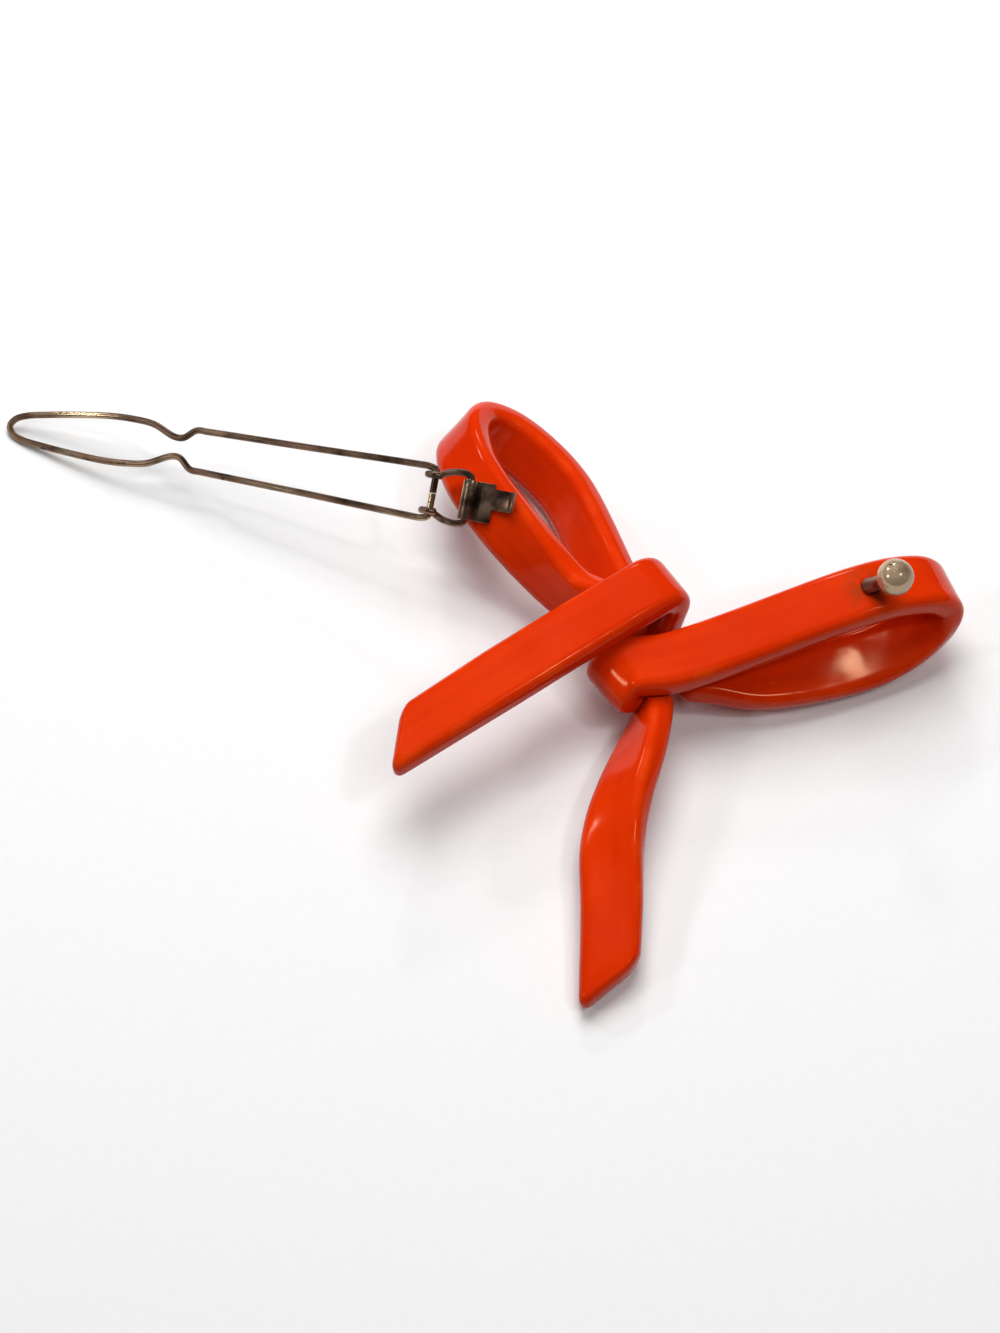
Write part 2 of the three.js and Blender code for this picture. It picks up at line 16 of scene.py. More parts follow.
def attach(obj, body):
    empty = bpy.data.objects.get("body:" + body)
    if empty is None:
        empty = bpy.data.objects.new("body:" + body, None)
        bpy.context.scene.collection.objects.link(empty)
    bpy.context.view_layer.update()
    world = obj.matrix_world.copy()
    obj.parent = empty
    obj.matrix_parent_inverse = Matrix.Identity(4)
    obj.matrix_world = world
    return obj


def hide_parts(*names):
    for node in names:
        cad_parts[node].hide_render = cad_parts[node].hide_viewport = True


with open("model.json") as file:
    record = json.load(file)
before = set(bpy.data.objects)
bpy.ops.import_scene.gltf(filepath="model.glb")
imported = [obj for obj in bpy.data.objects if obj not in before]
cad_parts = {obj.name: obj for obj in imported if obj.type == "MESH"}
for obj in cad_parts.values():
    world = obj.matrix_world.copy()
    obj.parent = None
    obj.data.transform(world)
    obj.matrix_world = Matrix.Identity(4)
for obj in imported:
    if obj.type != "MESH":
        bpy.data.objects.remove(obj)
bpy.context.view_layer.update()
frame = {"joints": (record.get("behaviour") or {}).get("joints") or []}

scene = bpy.context.scene
scene.view_settings.view_transform = "Standard"

# %% [markdown]
# The camera looks down on the bow from a little to the right, from an arm's length away.
# A long lens keeps the loops from swelling towards the viewer. The view was found by laying the outline of
# the model over the picture.

# %% Camera
MM = 0.001
VIEW_AZIMUTH = radians(15)
VIEW_ELEVATION = radians(60)
VIEW_DISTANCE = 300 * MM
FOCAL_PIXELS = 2820
FRAME_HEIGHT_PIXELS = 1333
SENSOR_HEIGHT = 36
NEAREST_SEEN = 10 * MM
view_target = Vector((-12.103, -4.612, 0)) * MM


def level_way(azimuth):
    """The level direction towards the viewer at an azimuth, where 0 stands on the -Y side."""
    return Vector((sin(azimuth), -cos(azimuth), 0))


def slanted_way(azimuth, elevation):
    """A direction towards the viewer that also rises by an elevation."""
    return level_way(azimuth) * cos(elevation) + Vector((0, 0, sin(elevation)))


lens = bpy.data.cameras.new("portrait_lens")
lens.sensor_fit = "VERTICAL"
lens.sensor_height = SENSOR_HEIGHT
lens.lens = FOCAL_PIXELS * SENSOR_HEIGHT / FRAME_HEIGHT_PIXELS
lens.clip_start = NEAREST_SEEN
camera = bpy.data.objects.new("portrait_camera", lens)
scene.collection.objects.link(camera)
camera.location = view_target + slanted_way(VIEW_AZIMUTH, VIEW_ELEVATION) * VIEW_DISTANCE
camera.rotation_euler = (view_target - camera.location).to_track_quat("-Z", "Y").to_euler()
scene.camera = camera
print("lens of %.1f mm" % lens.lens)

# %% [markdown]
# A bmesh is shaped in millimetres in the bow's own frame, whose origin is under the middle of the knot.
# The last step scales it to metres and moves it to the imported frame, so each object stays at the world's
# origin.

# %% Helpers for finished pieces
KNOT_ANGLE = 49  # degrees from +X to the front tail's crossing
FRONT_CROSSING = 3.6  # from the knot's middle to the front tail's middle line
SMOOTH_ANGLE = 35  # faces that meet at more degrees than this show a sharp edge
UP = Vector((0, 0, 1))


def heading(degrees):
    """A level direction, in degrees from +X."""
    return Vector((cos(radians(degrees)), sin(radians(degrees)), 0))


across = heading(KNOT_ANGLE)
along = heading(KNOT_ANGLE + 90)


def knot_place(a, c, z):
    """A place in the knot: a along the front tail's crossing, c towards the left loop, z up."""
    return across * a + along * c + UP * z


bow_to_frame = Matrix.Translation(knot_place(0, -FRONT_CROSSING, 0) * MM) @ Matrix.Scale(MM, 4)
frame_to_bow = bow_to_frame.inverted()


def finished(bm, name, body, node, smooth_angle=SMOOTH_ANGLE):
    """Makes the object of a shaped bmesh, rides it on its body and lets it stand for its CAD node."""
    bmesh.ops.recalc_face_normals(bm, faces=bm.faces)
    bmesh.ops.transform(bm, matrix=bow_to_frame, verts=bm.verts)
    mesh = bpy.data.meshes.new(name)
    bm.to_mesh(mesh)
    bm.free()
    mesh.shade_smooth()
    mesh.set_sharp_from_angle(angle=radians(smooth_angle))
    piece = bpy.data.objects.new(name, mesh)
    scene.collection.objects.link(piece)
    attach(piece, body)
    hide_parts(node)
    print(name, len(mesh.vertices), "points")
    return piece


print("knot's middle in the frame, in mm:", [round(c / MM, 2) for c in bow_to_frame.translation])

# %% [markdown]
# A bent bar is easiest to make as the maker made it: straight first, bent afterwards.
# Its path is a list of stations, each a place on the middle line and the direction of the bar's width there.
# A smooth curve runs through the places and another through the widths, so the bar bends and twists without
# kinks.

# %% The path of a bent bar
def on_curve(points, t, even):
    """A point at t, from 0 to 1, on the smooth curve through points. Even ones ignore the points' spacing."""
    spans = len(points) - 1
    i = min(int(t * spans), spans - 1)
    u = t * spans - i
    p1, p2 = points[i], points[i + 1]
    p0 = points[i - 1] if i > 0 else 2 * p1 - p2
    p3 = points[i + 2] if i + 2 <= spans else 2 * p2 - p1
    if even:
        d0 = d1 = d2 = 1
    else:
        d0, d1, d2 = [sqrt((b - a).length) for a, b in ((p0, p1), (p1, p2), (p2, p3))]
    start = ((p1 - p0) / d0 - (p2 - p0) / (d0 + d1) + (p2 - p1) / d1) * d1
    end = ((p2 - p1) / d1 - (p3 - p1) / (d1 + d2) + (p3 - p2) / d2) * d1
    return p1 + start * u + (3 * (p2 - p1) - 2 * start - end) * u**2 + (2 * (p1 - p2) + start + end) * u**3


class BarPath:
    """Where a bar's middle line is, and which way its width and face point, at a length along it."""

    SAMPLES = 2000

    def __init__(self, stations):
        places = [Vector(place) for place, width in stations]
        widths = [Vector(width) for place, width in stations]
        steps = np.linspace(0, 1, self.SAMPLES)
        self.place = np.array([on_curve(places, t, False) for t in steps])
        self.width = np.array([on_curve(widths, t, True) for t in steps])
        self.tangent = np.gradient(self.place, axis=0)
        self.tangent /= np.linalg.norm(self.tangent, axis=1)[:, None]
        chords = np.linalg.norm(np.diff(self.place, axis=0), axis=1)
        self.run = np.concatenate([[0], np.cumsum(chords)])
        self.length = self.run[-1]

    def at(self, run):
        """Place, tangent, width and face at one or many lengths along the bar, straight on past its ends."""
        run = np.atleast_1d(run)

        def read(table):
            return np.stack([np.interp(run, self.run, table[:, k]) for k in range(3)], axis=1)

        tangent = read(self.tangent)
        tangent /= np.linalg.norm(tangent, axis=1)[:, None]
        width = read(self.width)
        width -= tangent * np.sum(width * tangent, axis=1)[:, None]
        width /= np.linalg.norm(width, axis=1)[:, None]
        beyond = run - np.clip(run, 0, self.length)
        return read(self.place) + tangent * beyond[:, None], tangent, width, np.cross(tangent, width)


print("each path is measured at", BarPath.SAMPLES, "points")

# %% [markdown]
# The straight bar starts as a cube that is scaled to the bar's size.
# Its two end blocks stay whole, so that their corners can be rounded well in plan, as they were filed on the
# real bow. The stretch between is cut into short steps that will follow the bends. Then every edge is
# rounded, and a few lengthwise cuts let the wide faces twist smoothly.

# %% Straight bar stock
X, Y, Z = range(3)  # axes, in a straight bar those of its width, thickness and length
BAR_WIDTH = 6.5
BAR_THICKNESS = 3.0
BAR_EDGE_RADIUS = 1.1
END_CORNER = 1.5  # radius of the ends' corners, seen in plan
END_MARGIN = 0.2
END_BLOCK = END_CORNER + BAR_EDGE_RADIUS + END_MARGIN
BEND_STEP = 0.28
CORNER_SEGMENTS = 6
EDGE_SEGMENTS = 5
LENGTHWISE_CUTS = 7
CORNER_ANGLE = 1.0  # faces that meet at more radians than this make an edge to round
CUT_SNAP = 1e-5


def runs_along(edge, axis):
    """Whether an edge runs along one axis."""
    way = edge.verts[1].co - edge.verts[0].co
    return abs(way[axis]) > 0.999 * way.length


def cut_planes(bm, axis, places):
    """Cuts the whole mesh across one axis at each place."""
    normal = Vector((0, 0, 0))
    normal[axis] = 1
    for place in places:
        everything = list(bm.verts) + list(bm.edges) + list(bm.faces)
        bmesh.ops.bisect_plane(bm, geom=everything, plane_co=normal * place, plane_no=normal, dist=CUT_SNAP)


def rounded(bm, edges, radius, segments):
    """Rounds edges to a radius."""
    bmesh.ops.bevel(bm, geom=edges, offset=radius, offset_type="OFFSET", segments=segments, profile=0.5,
                    affect="EDGES", clamp_overlap=True, material=-1)


def bar_stock(length, grow=0.0):
    """A straight bar with rounded ends and edges, its length along Z. Grow adds to every side."""
    bm = bmesh.new()
    bmesh.ops.create_cube(bm, size=1)
    size = Vector((BAR_WIDTH, BAR_THICKNESS, length)) + Vector((2, 2, 2)) * grow
    bmesh.ops.scale(bm, vec=size, verts=bm.verts)
    bmesh.ops.translate(bm, vec=(0, 0, length / 2), verts=bm.verts)
    cut_planes(bm, Z, (END_BLOCK, length - END_BLOCK))
    middle = [e for e in bm.edges if runs_along(e, Z) and abs(sum(v.co.z for v in e.verts) - length) < 1]
    steps = ceil((length - 2 * END_BLOCK) / BEND_STEP)
    bmesh.ops.subdivide_edges(bm, edges=middle, cuts=steps, use_grid_fill=True)
    corners = [e for e in bm.edges if runs_along(e, Y) and e.calc_face_angle(0) > CORNER_ANGLE]
    rounded(bm, corners, END_CORNER, CORNER_SEGMENTS)
    outline = [e for e in bm.edges if e.calc_face_angle(0) > CORNER_ANGLE]
    rounded(bm, outline, BAR_EDGE_RADIUS, EDGE_SEGMENTS)
    flat = BAR_WIDTH / 2 - BAR_EDGE_RADIUS
    cut_planes(bm, X, np.linspace(-flat, flat, LENGTHWISE_CUTS + 2)[1:-1])
    return bm


print("bar of %.1f by %.1f mm, in steps of %.2f mm" % (BAR_WIDTH, BAR_THICKNESS, BEND_STEP))

# %% [markdown]
# Bending moves each point of the straight bar to its place beside the path.
# The free ends of the tails are cut at a slant and taper a little. Both fade in over the last stretch of the
# bar. Each point remembers its place in the straight bar and how near it is to an edge, so that streaks and
# scratches can follow the bar round and wear can keep to the edges.

# %% Bending
TAIL_CUT = 42
TAIL_TAPER = 0.08
CUT_REACH = 13


def rim_of(place):
    """How far a point lies round the rounded long edge of the bar, from 0 on the flats to 1 on the edge."""
    from_side = BAR_WIDTH / 2 - abs(place[X])
    from_face = BAR_THICKNESS / 2 - abs(place[Y])
    least = BAR_EDGE_RADIUS * (1 - sqrt(0.5))
    return min(1.0, max(0.0, (BAR_EDGE_RADIUS - max(from_side, from_face)) / (BAR_EDGE_RADIUS - least)))


def bent_bar(path, start_cut=0, end_cut=0, grow=0.0):
    """Bends straight stock along a path, with slanted cuts where they are given, in degrees."""
    bm = bar_stock(path.length, grow)
    straight = np.array([v.co for v in bm.verts])
    run = straight[:, Z]
    near_start = np.clip(1 - run / CUT_REACH, 0, None) * (start_cut != 0)
    near_end = np.clip(1 - (path.length - run) / CUT_REACH, 0, None) * (end_cut != 0)
    wide = straight[:, X] * (1 - TAIL_TAPER * (near_start + near_end))
    slant = tan(radians(start_cut)) * near_start + tan(radians(end_cut)) * near_end
    place, tangent, width, face = path.at(run + slant * wide)
    bent = place + width * wide[:, None] + face * straight[:, Y:Z]
    stock_place = bm.verts.layers.float_vector.new("stock_place")
    rim = bm.verts.layers.float.new("rim")
    for v, old, new in zip(bm.verts, straight, bent):
        v[stock_place] = Vector(old) * MM
        v[rim] = rim_of(old)
        v.co = new
    return bm


def cut_away(bm, cutter):
    """Takes one bmesh out of another, as the glued bars were filed to fit."""
    shapes = []
    for source in (bm, cutter):
        mesh = bpy.data.meshes.new("shape")
        source.to_mesh(mesh)
        source.free()
        shape = bpy.data.objects.new("shape", mesh)
        scene.collection.objects.link(shape)
        shapes.append(shape)
    cut = shapes[0].modifiers.new("cut", "BOOLEAN")
    cut.operation = "DIFFERENCE"
    cut.solver = "EXACT"
    cut.object = shapes[1]
    bpy.context.view_layer.update()
    done = shapes[0].evaluated_get(bpy.context.evaluated_depsgraph_get())
    result = bmesh.new()
    result.from_mesh(done.to_mesh())
    done.to_mesh_clear()
    for shape in shapes:
        mesh = shape.data
        bpy.data.objects.remove(shape)
        bpy.data.meshes.remove(mesh)
    return result


print("tails cut at %d degrees over their last %d mm" % (TAIL_CUT, CUT_REACH))

# %% [markdown]
# The bow has four bars: two loops and two tails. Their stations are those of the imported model.
# A loop leaves the knot, rounds its end and comes back lower. It leans over and rolls on the way, which is
# what makes the real bow look tied.

# %% Stations of the loops
GLUE_LINE = 0.12
LEFT_LOOP = dict(azimuth=136, lean=54, roll_out=30, roll_end=46, roll_back=52,
                 length=32.8, height=12.4, round=10.6, sway=0.1, middle_height=6.7)
RIGHT_LOOP = dict(azimuth=35.5, lean=10, roll_out=0, roll_end=0, roll_back=-24,
                  length=30.4, height=8.3, round=9.6, sway=1.6, middle_height=6.9)
RIGHT_CROSSING = 5.2
FOLD_REACH = 4.9
FOLD_INNER = 0.08  # inner radius of the tight fold at the knot
FOLD_CROSSING = 1.5
LOOP_TURNS = 6


def layer(n):
    """Height of the middle of the nth layer of bar in the knot, counted up from the table."""
    return BAR_THICKNESS / 2 + (n - 1) * (BAR_THICKNESS + GLUE_LINE)


def loop_stations(root, loop):
    """Stations out along the upper run, round the end and back along the lower run."""
    out = heading(loop["azimuth"])
    flat = heading(loop["azimuth"] - 90)
    lean = radians(loop["lean"])
    lift = UP * cos(lean) - flat * sin(lean)
    stations = []
    for i in range(LOOP_TURNS + 1):
        angle = pi / 2 - pi * i / LOOP_TURNS
        reach = loop["length"] - loop["round"] * (1 - cos(angle))
        below = max(0.0, -sin(angle)) ** 2
        roll_edge = loop["roll_out"] if angle > 0 else loop["roll_back"]
        roll = radians(loop["roll_end"] + (roll_edge - loop["roll_end"]) * abs(sin(angle)))
        place = root + UP * loop["middle_height"] + out * reach
        place += lift * (loop["height"] / 2 * sin(angle)) + flat * (loop["sway"] * below)
        stations.append((place, flat * cos(roll) + UP * sin(roll)))
    return stations


def on_edge(degrees):
    """The width of a bar in the knot that is rolled up on its edge."""
    return across * cos(radians(degrees)) + UP * sin(radians(degrees))


left_path = BarPath([
    (knot_place(0.1, 2.8, layer(3)), across),
    (knot_place(-1.6, 7.0, 6.9), on_edge(56)),
    (knot_place(-2.5, 10.2, 6.6), on_edge(67)),
    *loop_stations(knot_place(-0.6, 0, 0), LEFT_LOOP),
    (knot_place(1.8, 6.0, layer(2) - 0.2), on_edge(38)),
    (knot_place(1.6, 2.6, layer(2) - 0.4), on_edge(16)),
])
fold_bend = BAR_THICKNESS / 2 + FOLD_INNER
fold_width = heading(KNOT_ANGLE - 86)
fold_top = layer(3)
fold_under = fold_top - 2 * fold_bend
right_path = BarPath([
    (knot_place(1.6, -1.4, fold_under), fold_width),
    (knot_place(-FOLD_REACH + fold_bend, -FOLD_CROSSING, fold_under), fold_width),
    (knot_place(-FOLD_REACH, -FOLD_CROSSING, fold_top - fold_bend), fold_width),
    (knot_place(-FOLD_REACH + fold_bend, -FOLD_CROSSING, fold_top), fold_width),
    (knot_place(1.0, -3.7, fold_top + 0.3), heading(KNOT_ANGLE - 94)),
    *loop_stations(knot_place(0, -RIGHT_CROSSING, 0), RIGHT_LOOP),
    (knot_place(9.5, -8.6, 3.4), heading(KNOT_ANGLE - 104) - UP * 0.2),
    (knot_place(5.4, -5.6, fold_under - 0.6), heading(KNOT_ANGLE - 98)),
    (knot_place(2.2, -3.4, fold_under), heading(KNOT_ANGLE - 94)),
])
print("left bar %.1f mm, right bar %.1f mm" % (left_path.length, right_path.length))

# %% [markdown]
# The front tail crosses over the knot, turns down at its far side and runs back under it.
# The back tail comes out from under the right loop on its edge and untwists until it lies flat on the table.

# %% Stations of the tails
FRONT_TAIL_LENGTH = 28.4
FRONT_TAIL_DROP = 0.9
FRONT_TAIL_ASIDE = 0.3
FRONT_UNDER = 2.5
KNOT_REACH = 5.2
KNOT_TUCK = 1.2
KNOT_INNER = 0.8  # inner radius of the turns round the knot
KNOT_BEND = BAR_THICKNESS / 2 + KNOT_INNER
BEND_STATIONS = 6


def front_place(a, z, aside=0.0):
    """A station of the front tail: a along its crossing, z up, and a little aside where it drifts."""
    return knot_place(a, FRONT_CROSSING - aside, z), heading(KNOT_ANGLE - 90)


def front_bend(reach, z, start):
    """A quarter turn down from one angle, out to a reach, about a middle at height z."""
    angles = [radians(start - 90 * i / BEND_STATIONS) for i in range(BEND_STATIONS + 1)]
    return [front_place(reach - KNOT_BEND * (1 - cos(a)), z + KNOT_BEND * sin(a)) for a in angles]


def back_place(x, y, z, degrees, roll):
    """A station of the back tail: its width starts level at a heading and rolls down."""
    return Vector((x, y, z)), heading(degrees) * cos(radians(roll)) - UP * sin(radians(roll))


front_path = BarPath([
    front_place(-FRONT_TAIL_LENGTH, layer(4) - FRONT_TAIL_DROP, FRONT_TAIL_ASIDE),
    front_place(-FRONT_TAIL_LENGTH / 2, layer(4) - FRONT_TAIL_DROP / 4, FRONT_TAIL_ASIDE / 2),
    front_place(-2, layer(4)),
    *front_bend(KNOT_REACH, layer(4) - KNOT_BEND, 90),
    *front_bend(KNOT_REACH - KNOT_TUCK, layer(1) + KNOT_BEND, 0),
    front_place(KNOT_REACH - KNOT_TUCK - KNOT_BEND - BAR_EDGE_RADIUS, layer(1)),
    front_place(0, layer(1)),
    front_place(-FRONT_UNDER, layer(1)),
])
back_path = BarPath([
    back_place(2.4, -4.2, 3.7, 192, 76),
    back_place(2.4, -8.6, 4.2, 188, 58),
    back_place(2.2, -12.0, 4.4, 184, 46),
    back_place(1.9, -15.5, 4.3, 182, 38),
    back_place(1.85, -18.6, 4.0, 178, 28),
    back_place(2.2, -22.0, 3.5, 172, 13),
    back_place(3.7, -28.0, 2.75, 168, 0),
    back_place(5.5, -36.2, 1.85, 168, 0),
])
print("front tail %.1f mm, back tail %.1f mm" % (front_path.length, back_path.length))

# %% [markdown]
# The metal fittings take their places from the bars that carry them and from the two pivots of the packed
# model. The strap's frame has x up the left loop's face towards the catch, y along the pivot and z out of
# the face. The ring's frame starts at its pivot, with x towards the clip.

# %% Frames of the fittings
HINGE_ALONG = 20.2  # from the start of the left bar to the strap
CATCH_ALONG = 35.8  # from the start of the right bar to the post
POST_LEAN = radians(32)
POST_SIDE_LEAN = radians(10)
pivots = {joint["name"]: joint for joint in frame["joints"]}
ring_pivot = frame_to_bow @ Vector(pivots["ring_swing"]["pos_m"])
clip_pivot = frame_to_bow @ Vector(pivots["clip_swing"]["pos_m"])
pivot_axis = Vector(pivots["ring_swing"]["axis"]).normalized()


def frame_of(x, y, z, origin):
    """The matrix of a frame with these directions and this origin."""
    return Matrix.Translation(origin) @ Matrix((x, y, z)).transposed().to_4x4()


def spot(path, run):
    """Place and outward direction of a bar's upper face at a length along it."""
    place, tangent, width, face = [Vector(v[0]) for v in path.at(run)]
    return place - face * BAR_THICKNESS / 2, -face


hinge_base, hinge_out = spot(left_path, HINGE_ALONG)
hinge_frame = frame_of(pivot_axis.cross(hinge_out), pivot_axis, hinge_out, hinge_base)
catch_base = spot(right_path, CATCH_ALONG)[0]
post_way = Vector((tan(POST_LEAN), -tan(POST_SIDE_LEAN), 1)).normalized()
post_front = UP.cross(post_way).normalized()
catch_frame = frame_of(post_front, post_way.cross(post_front), post_way, catch_base)
ring_way = (clip_pivot - ring_pivot).normalized()
ring_frame = frame_of(ring_way, pivot_axis, ring_way.cross(pivot_axis), ring_pivot)
knuckle_seen = hinge_frame.inverted() @ ring_pivot
print("knuckle in the strap's frame:", [round(c, 3) for c in knuckle_seen])

# %% [markdown]
# Round parts such as the post, the ball and the tack are turned: a profile of radius and height is spun a
# full turn. The real ones came off a lathe in the same way. A pin that is pressed into the plastic has a
# pointed spike, and its bore in the plastic is a turned shape too, a little wider.

# %% Turning
PRESS_GAP = 0.03
TURN_STEPS = 48
WELD = 1e-4  # points nearer than this become one


def turned(profile, place):
    """Spins a profile of radius and height about z, and puts it in its frame."""
    bm = bmesh.new()
    points = [bm.verts.new((radius, 0, height)) for radius, height in profile]
    edges = [bm.edges.new(pair) for pair in zip(points, points[1:])]
    bmesh.ops.spin(bm, geom=points + edges, cent=(0, 0, 0), axis=(0, 0, 1), dvec=(0, 0, 0),
                   angle=2 * pi, steps=TURN_STEPS, use_merge=True)
    bmesh.ops.remove_doubles(bm, verts=bm.verts, dist=WELD)
    bmesh.ops.recalc_face_normals(bm, faces=bm.faces)
    bmesh.ops.transform(bm, matrix=place, verts=bm.verts)
    return bm


def spike_profile(thick, deep, top):
    """The pointed spike of a pin that is pressed into the plastic, up to a height."""
    return [(0, -deep), (thick / 4, -deep), (thick / 2, -deep + thick / 2), (thick / 2, top)]


def bore_profile(thick, deep, top):
    """The bore for a spike, with room for the press fit, up to a height."""
    radius = thick / 2 + PRESS_GAP
    return [(0, -deep - PRESS_GAP), (radius, -deep - PRESS_GAP), (radius, top)]


print("turned parts have", TURN_STEPS, "sides")

# %% [markdown]
# The catch's post has a foot, a waist that the latched wire rests in and a plain end for the ball. A plain
# cylinder would do from afar, but the waist shows from the side and takes only a few more points.

# %% The post
SEAT_GAP = 0.15  # between a fitting and the plastic under it
BALL = 3.8
POST = 1.8
POST_LENGTH = 4.8
POST_SPIKE = 1.2
POST_SPIKE_DEPTH = 2.0
POST_WAIST = 0.88  # of the post's radius
FOOT_NARROW = 0.92  # of the post's radius, at the foot's broken edge
FOOT_BREAK = 0.08
FOOT_HEIGHT = 0.36
WAIST_START = 0.62
WAIST_END = 2.7  # below the bottom of the ball's hole
SLEEVE_LENGTH = 2.3  # of the end that the ball is pressed on
SLEEVE_BREAK = 0.06
ball_hole = POST_LENGTH + BALL / 4
foot = POST / 2
waist = POST_WAIST * foot
post_profile = spike_profile(POST_SPIKE, POST_SPIKE_DEPTH, SEAT_GAP) + [
    (foot * FOOT_NARROW, SEAT_GAP),
    (foot, SEAT_GAP + FOOT_BREAK),
    (foot, SEAT_GAP + FOOT_HEIGHT),
    (waist, SEAT_GAP + WAIST_START),
    (waist, ball_hole - WAIST_END),
    (foot, ball_hole - SLEEVE_LENGTH),
    (foot, ball_hole - SLEEVE_BREAK),
    (foot - SLEEVE_BREAK, ball_hole),
    (0, ball_hole),
]
post_bore = bore_profile(POST_SPIKE, POST_SPIKE_DEPTH, SEAT_GAP) + [
    (foot + PRESS_GAP, SEAT_GAP - PRESS_GAP),
    (foot + PRESS_GAP, ball_hole),
    (0, ball_hole),
]
post = finished(turned(post_profile, catch_frame), "catch_post_pin", "bow", "catch_post")

# %% [markdown]
# The ball is a bead pressed on the post, with a small lip round its hole. A ready-made sphere has no hole,
# so its outline is turned like the rest: down inside the hole, round the lip and up over to the top.

# %% The ball
BALL_ROWS = 26
BALL_SMOOTH_ANGLE = 50
LIP_INSIDE = 0.1  # how far the lip reaches up into the hole
LIP_OUTSIDE = 0.05
LIP_DROP = 0.02


def ball_profile():
    """The bead's outline, from the bottom of its hole to its top."""
    hole = foot + PRESS_GAP
    lip = asin(hole / (BALL / 2)) - pi / 2
    low = POST_LENGTH + BALL / 2 * sin(lip)
    profile = [
        (0, ball_hole + PRESS_GAP),
        (hole, ball_hole + PRESS_GAP),
        (hole, low + LIP_INSIDE),
        (hole + LIP_OUTSIDE, low - LIP_DROP),
    ]
    for i in range(1, BALL_ROWS + 1):
        angle = lip + (pi / 2 - lip) * i / BALL_ROWS
        radius = BALL / 2 * cos(angle) if i < BALL_ROWS else 0
        profile.append((radius, POST_LENGTH + BALL / 2 * sin(angle)))
    return profile


ball_bmesh = turned(ball_profile(), catch_frame)
ball = finished(ball_bmesh, "catch_ball_bead", "bow", "catch_ball", BALL_SMOOTH_ANGLE)

# %% [markdown]
# A small tack holds the strap. It is hidden on the real bow, so its shape is a plain one: a spike in the
# plastic and a flat head that lies under the strap's leaf.

# %% The tack
TACK_SHANK = 0.8
TACK_HEAD = 1.5
TACK_DEPTH = 1.9
TACK_PLATE = 0.3
TACK_CLEAR = 1  # how far the tack's bore is cut open above the plastic
KNUCKLE_PLACE = 1.8  # from the strap's origin back to its knuckle
LEAF_LENGTH = 2.6
tack_top = SEAT_GAP - PRESS_GAP
tack_under = tack_top - TACK_PLATE
tack_profile = spike_profile(TACK_SHANK, TACK_DEPTH, tack_under) + [
    (TACK_HEAD / 2, tack_under),
    (TACK_HEAD / 2, tack_top),
    (0, tack_top),
]
tack_bore = bore_profile(TACK_SHANK, TACK_DEPTH, tack_under - PRESS_GAP) + [
    (TACK_HEAD / 2 + PRESS_GAP, tack_under - PRESS_GAP),
    (TACK_HEAD / 2 + PRESS_GAP, TACK_CLEAR),
    (0, TACK_CLEAR),
]
tack_frame = hinge_frame @ Matrix.Translation((-KNUCKLE_PLACE + LEAF_LENGTH / 2, 0, 0))
tack = finished(turned(tack_profile, tack_frame), "hinge_tack_pin", "bow", "hinge_tack")

# %% [markdown]
# The four bars of the bow are bent here. Where bars meet in the knot, one is filed to fit the other.
# The left loop is planed flat under the strap: in the strap's frame, no point near it may stand above the
# seat. Filing the points down keeps the bar's smooth faces, where a cut with a box would leave a step.

# %% The bars of the bow
SEAT_MARGIN = 0.3
SEAT_REACH = 9.0  # length of bar, each way from the strap, that is planed
SEAT_SLOPE = 0.5
RING_ASIDE = 0.6
LEAF_WIDTH = 4.2
TONGUE_LENGTH = 1.6
LIP_RADIUS = 0.7
SHEET = 0.35
TURNING_GAP = 0.06
WIRE = 0.75
knuckle_outer = WIRE / 2 + TURNING_GAP + SHEET
leaf_end = -KNUCKLE_PLACE + LEAF_LENGTH


def planed_for_strap(bm):
    """Files the left bar down to a flat under the strap, easing off around it."""
    start = -KNUCKLE_PLACE - knuckle_outer - SEAT_MARGIN
    end = leaf_end + TONGUE_LENGTH + LIP_RADIUS + SHEET + SEAT_MARGIN
    side = LEAF_WIDTH / 2 + RING_ASIDE + WIRE / 2 + SEAT_MARGIN
    stock_place = bm.verts.layers.float_vector["stock_place"]
    to_hinge = hinge_frame.inverted()
    for v in bm.verts:
        if abs(v[stock_place].z / MM - HINGE_ALONG) < SEAT_REACH:
            seen = to_hinge @ v.co
            beside = max(start - seen.x, seen.x - end, abs(seen.y) - side, 0)
            seen.z = min(seen.z, beside * SEAT_SLOPE)
            v.co = hinge_frame @ seen
    return bm


left_bmesh = planed_for_strap(bent_bar(left_path))
left_bmesh = cut_away(left_bmesh, bent_bar(front_path, -TAIL_CUT, 0, GLUE_LINE))
left_bmesh = cut_away(left_bmesh, turned(tack_bore, tack_frame))
right_bmesh = cut_away(bent_bar(right_path), turned(post_bore, catch_frame))
back_bmesh = cut_away(bent_bar(back_path, 0, TAIL_CUT), bent_bar(left_path, 0, 0, GLUE_LINE))
back_bmesh = cut_away(back_bmesh, bent_bar(right_path, 0, 0, GLUE_LINE))
left_bar = finished(left_bmesh, "left_loop_bar", "bow", "left_loop")
right_bar = finished(right_bmesh, "right_loop_bar", "bow", "right_loop")
front_bar = finished(bent_bar(front_path, -TAIL_CUT, 0), "front_tail_bar", "bow", "front_tail")
back_bar = finished(back_bmesh, "back_tail_bar", "bow", "back_tail")

# %% [markdown]
# The strap is folded from one piece of sheet brass, so it is modelled as a sheet.
# It starts as one row of edges across the end of the leaf. The whole row is drawn back to make the leaf and
# spun round the pivot to make the knuckle. The middle edge alone is drawn forward for the tongue and spun up
# for the curled lip. Solidify then gives the sheet its thickness, and a small bevel breaks the cut edges.

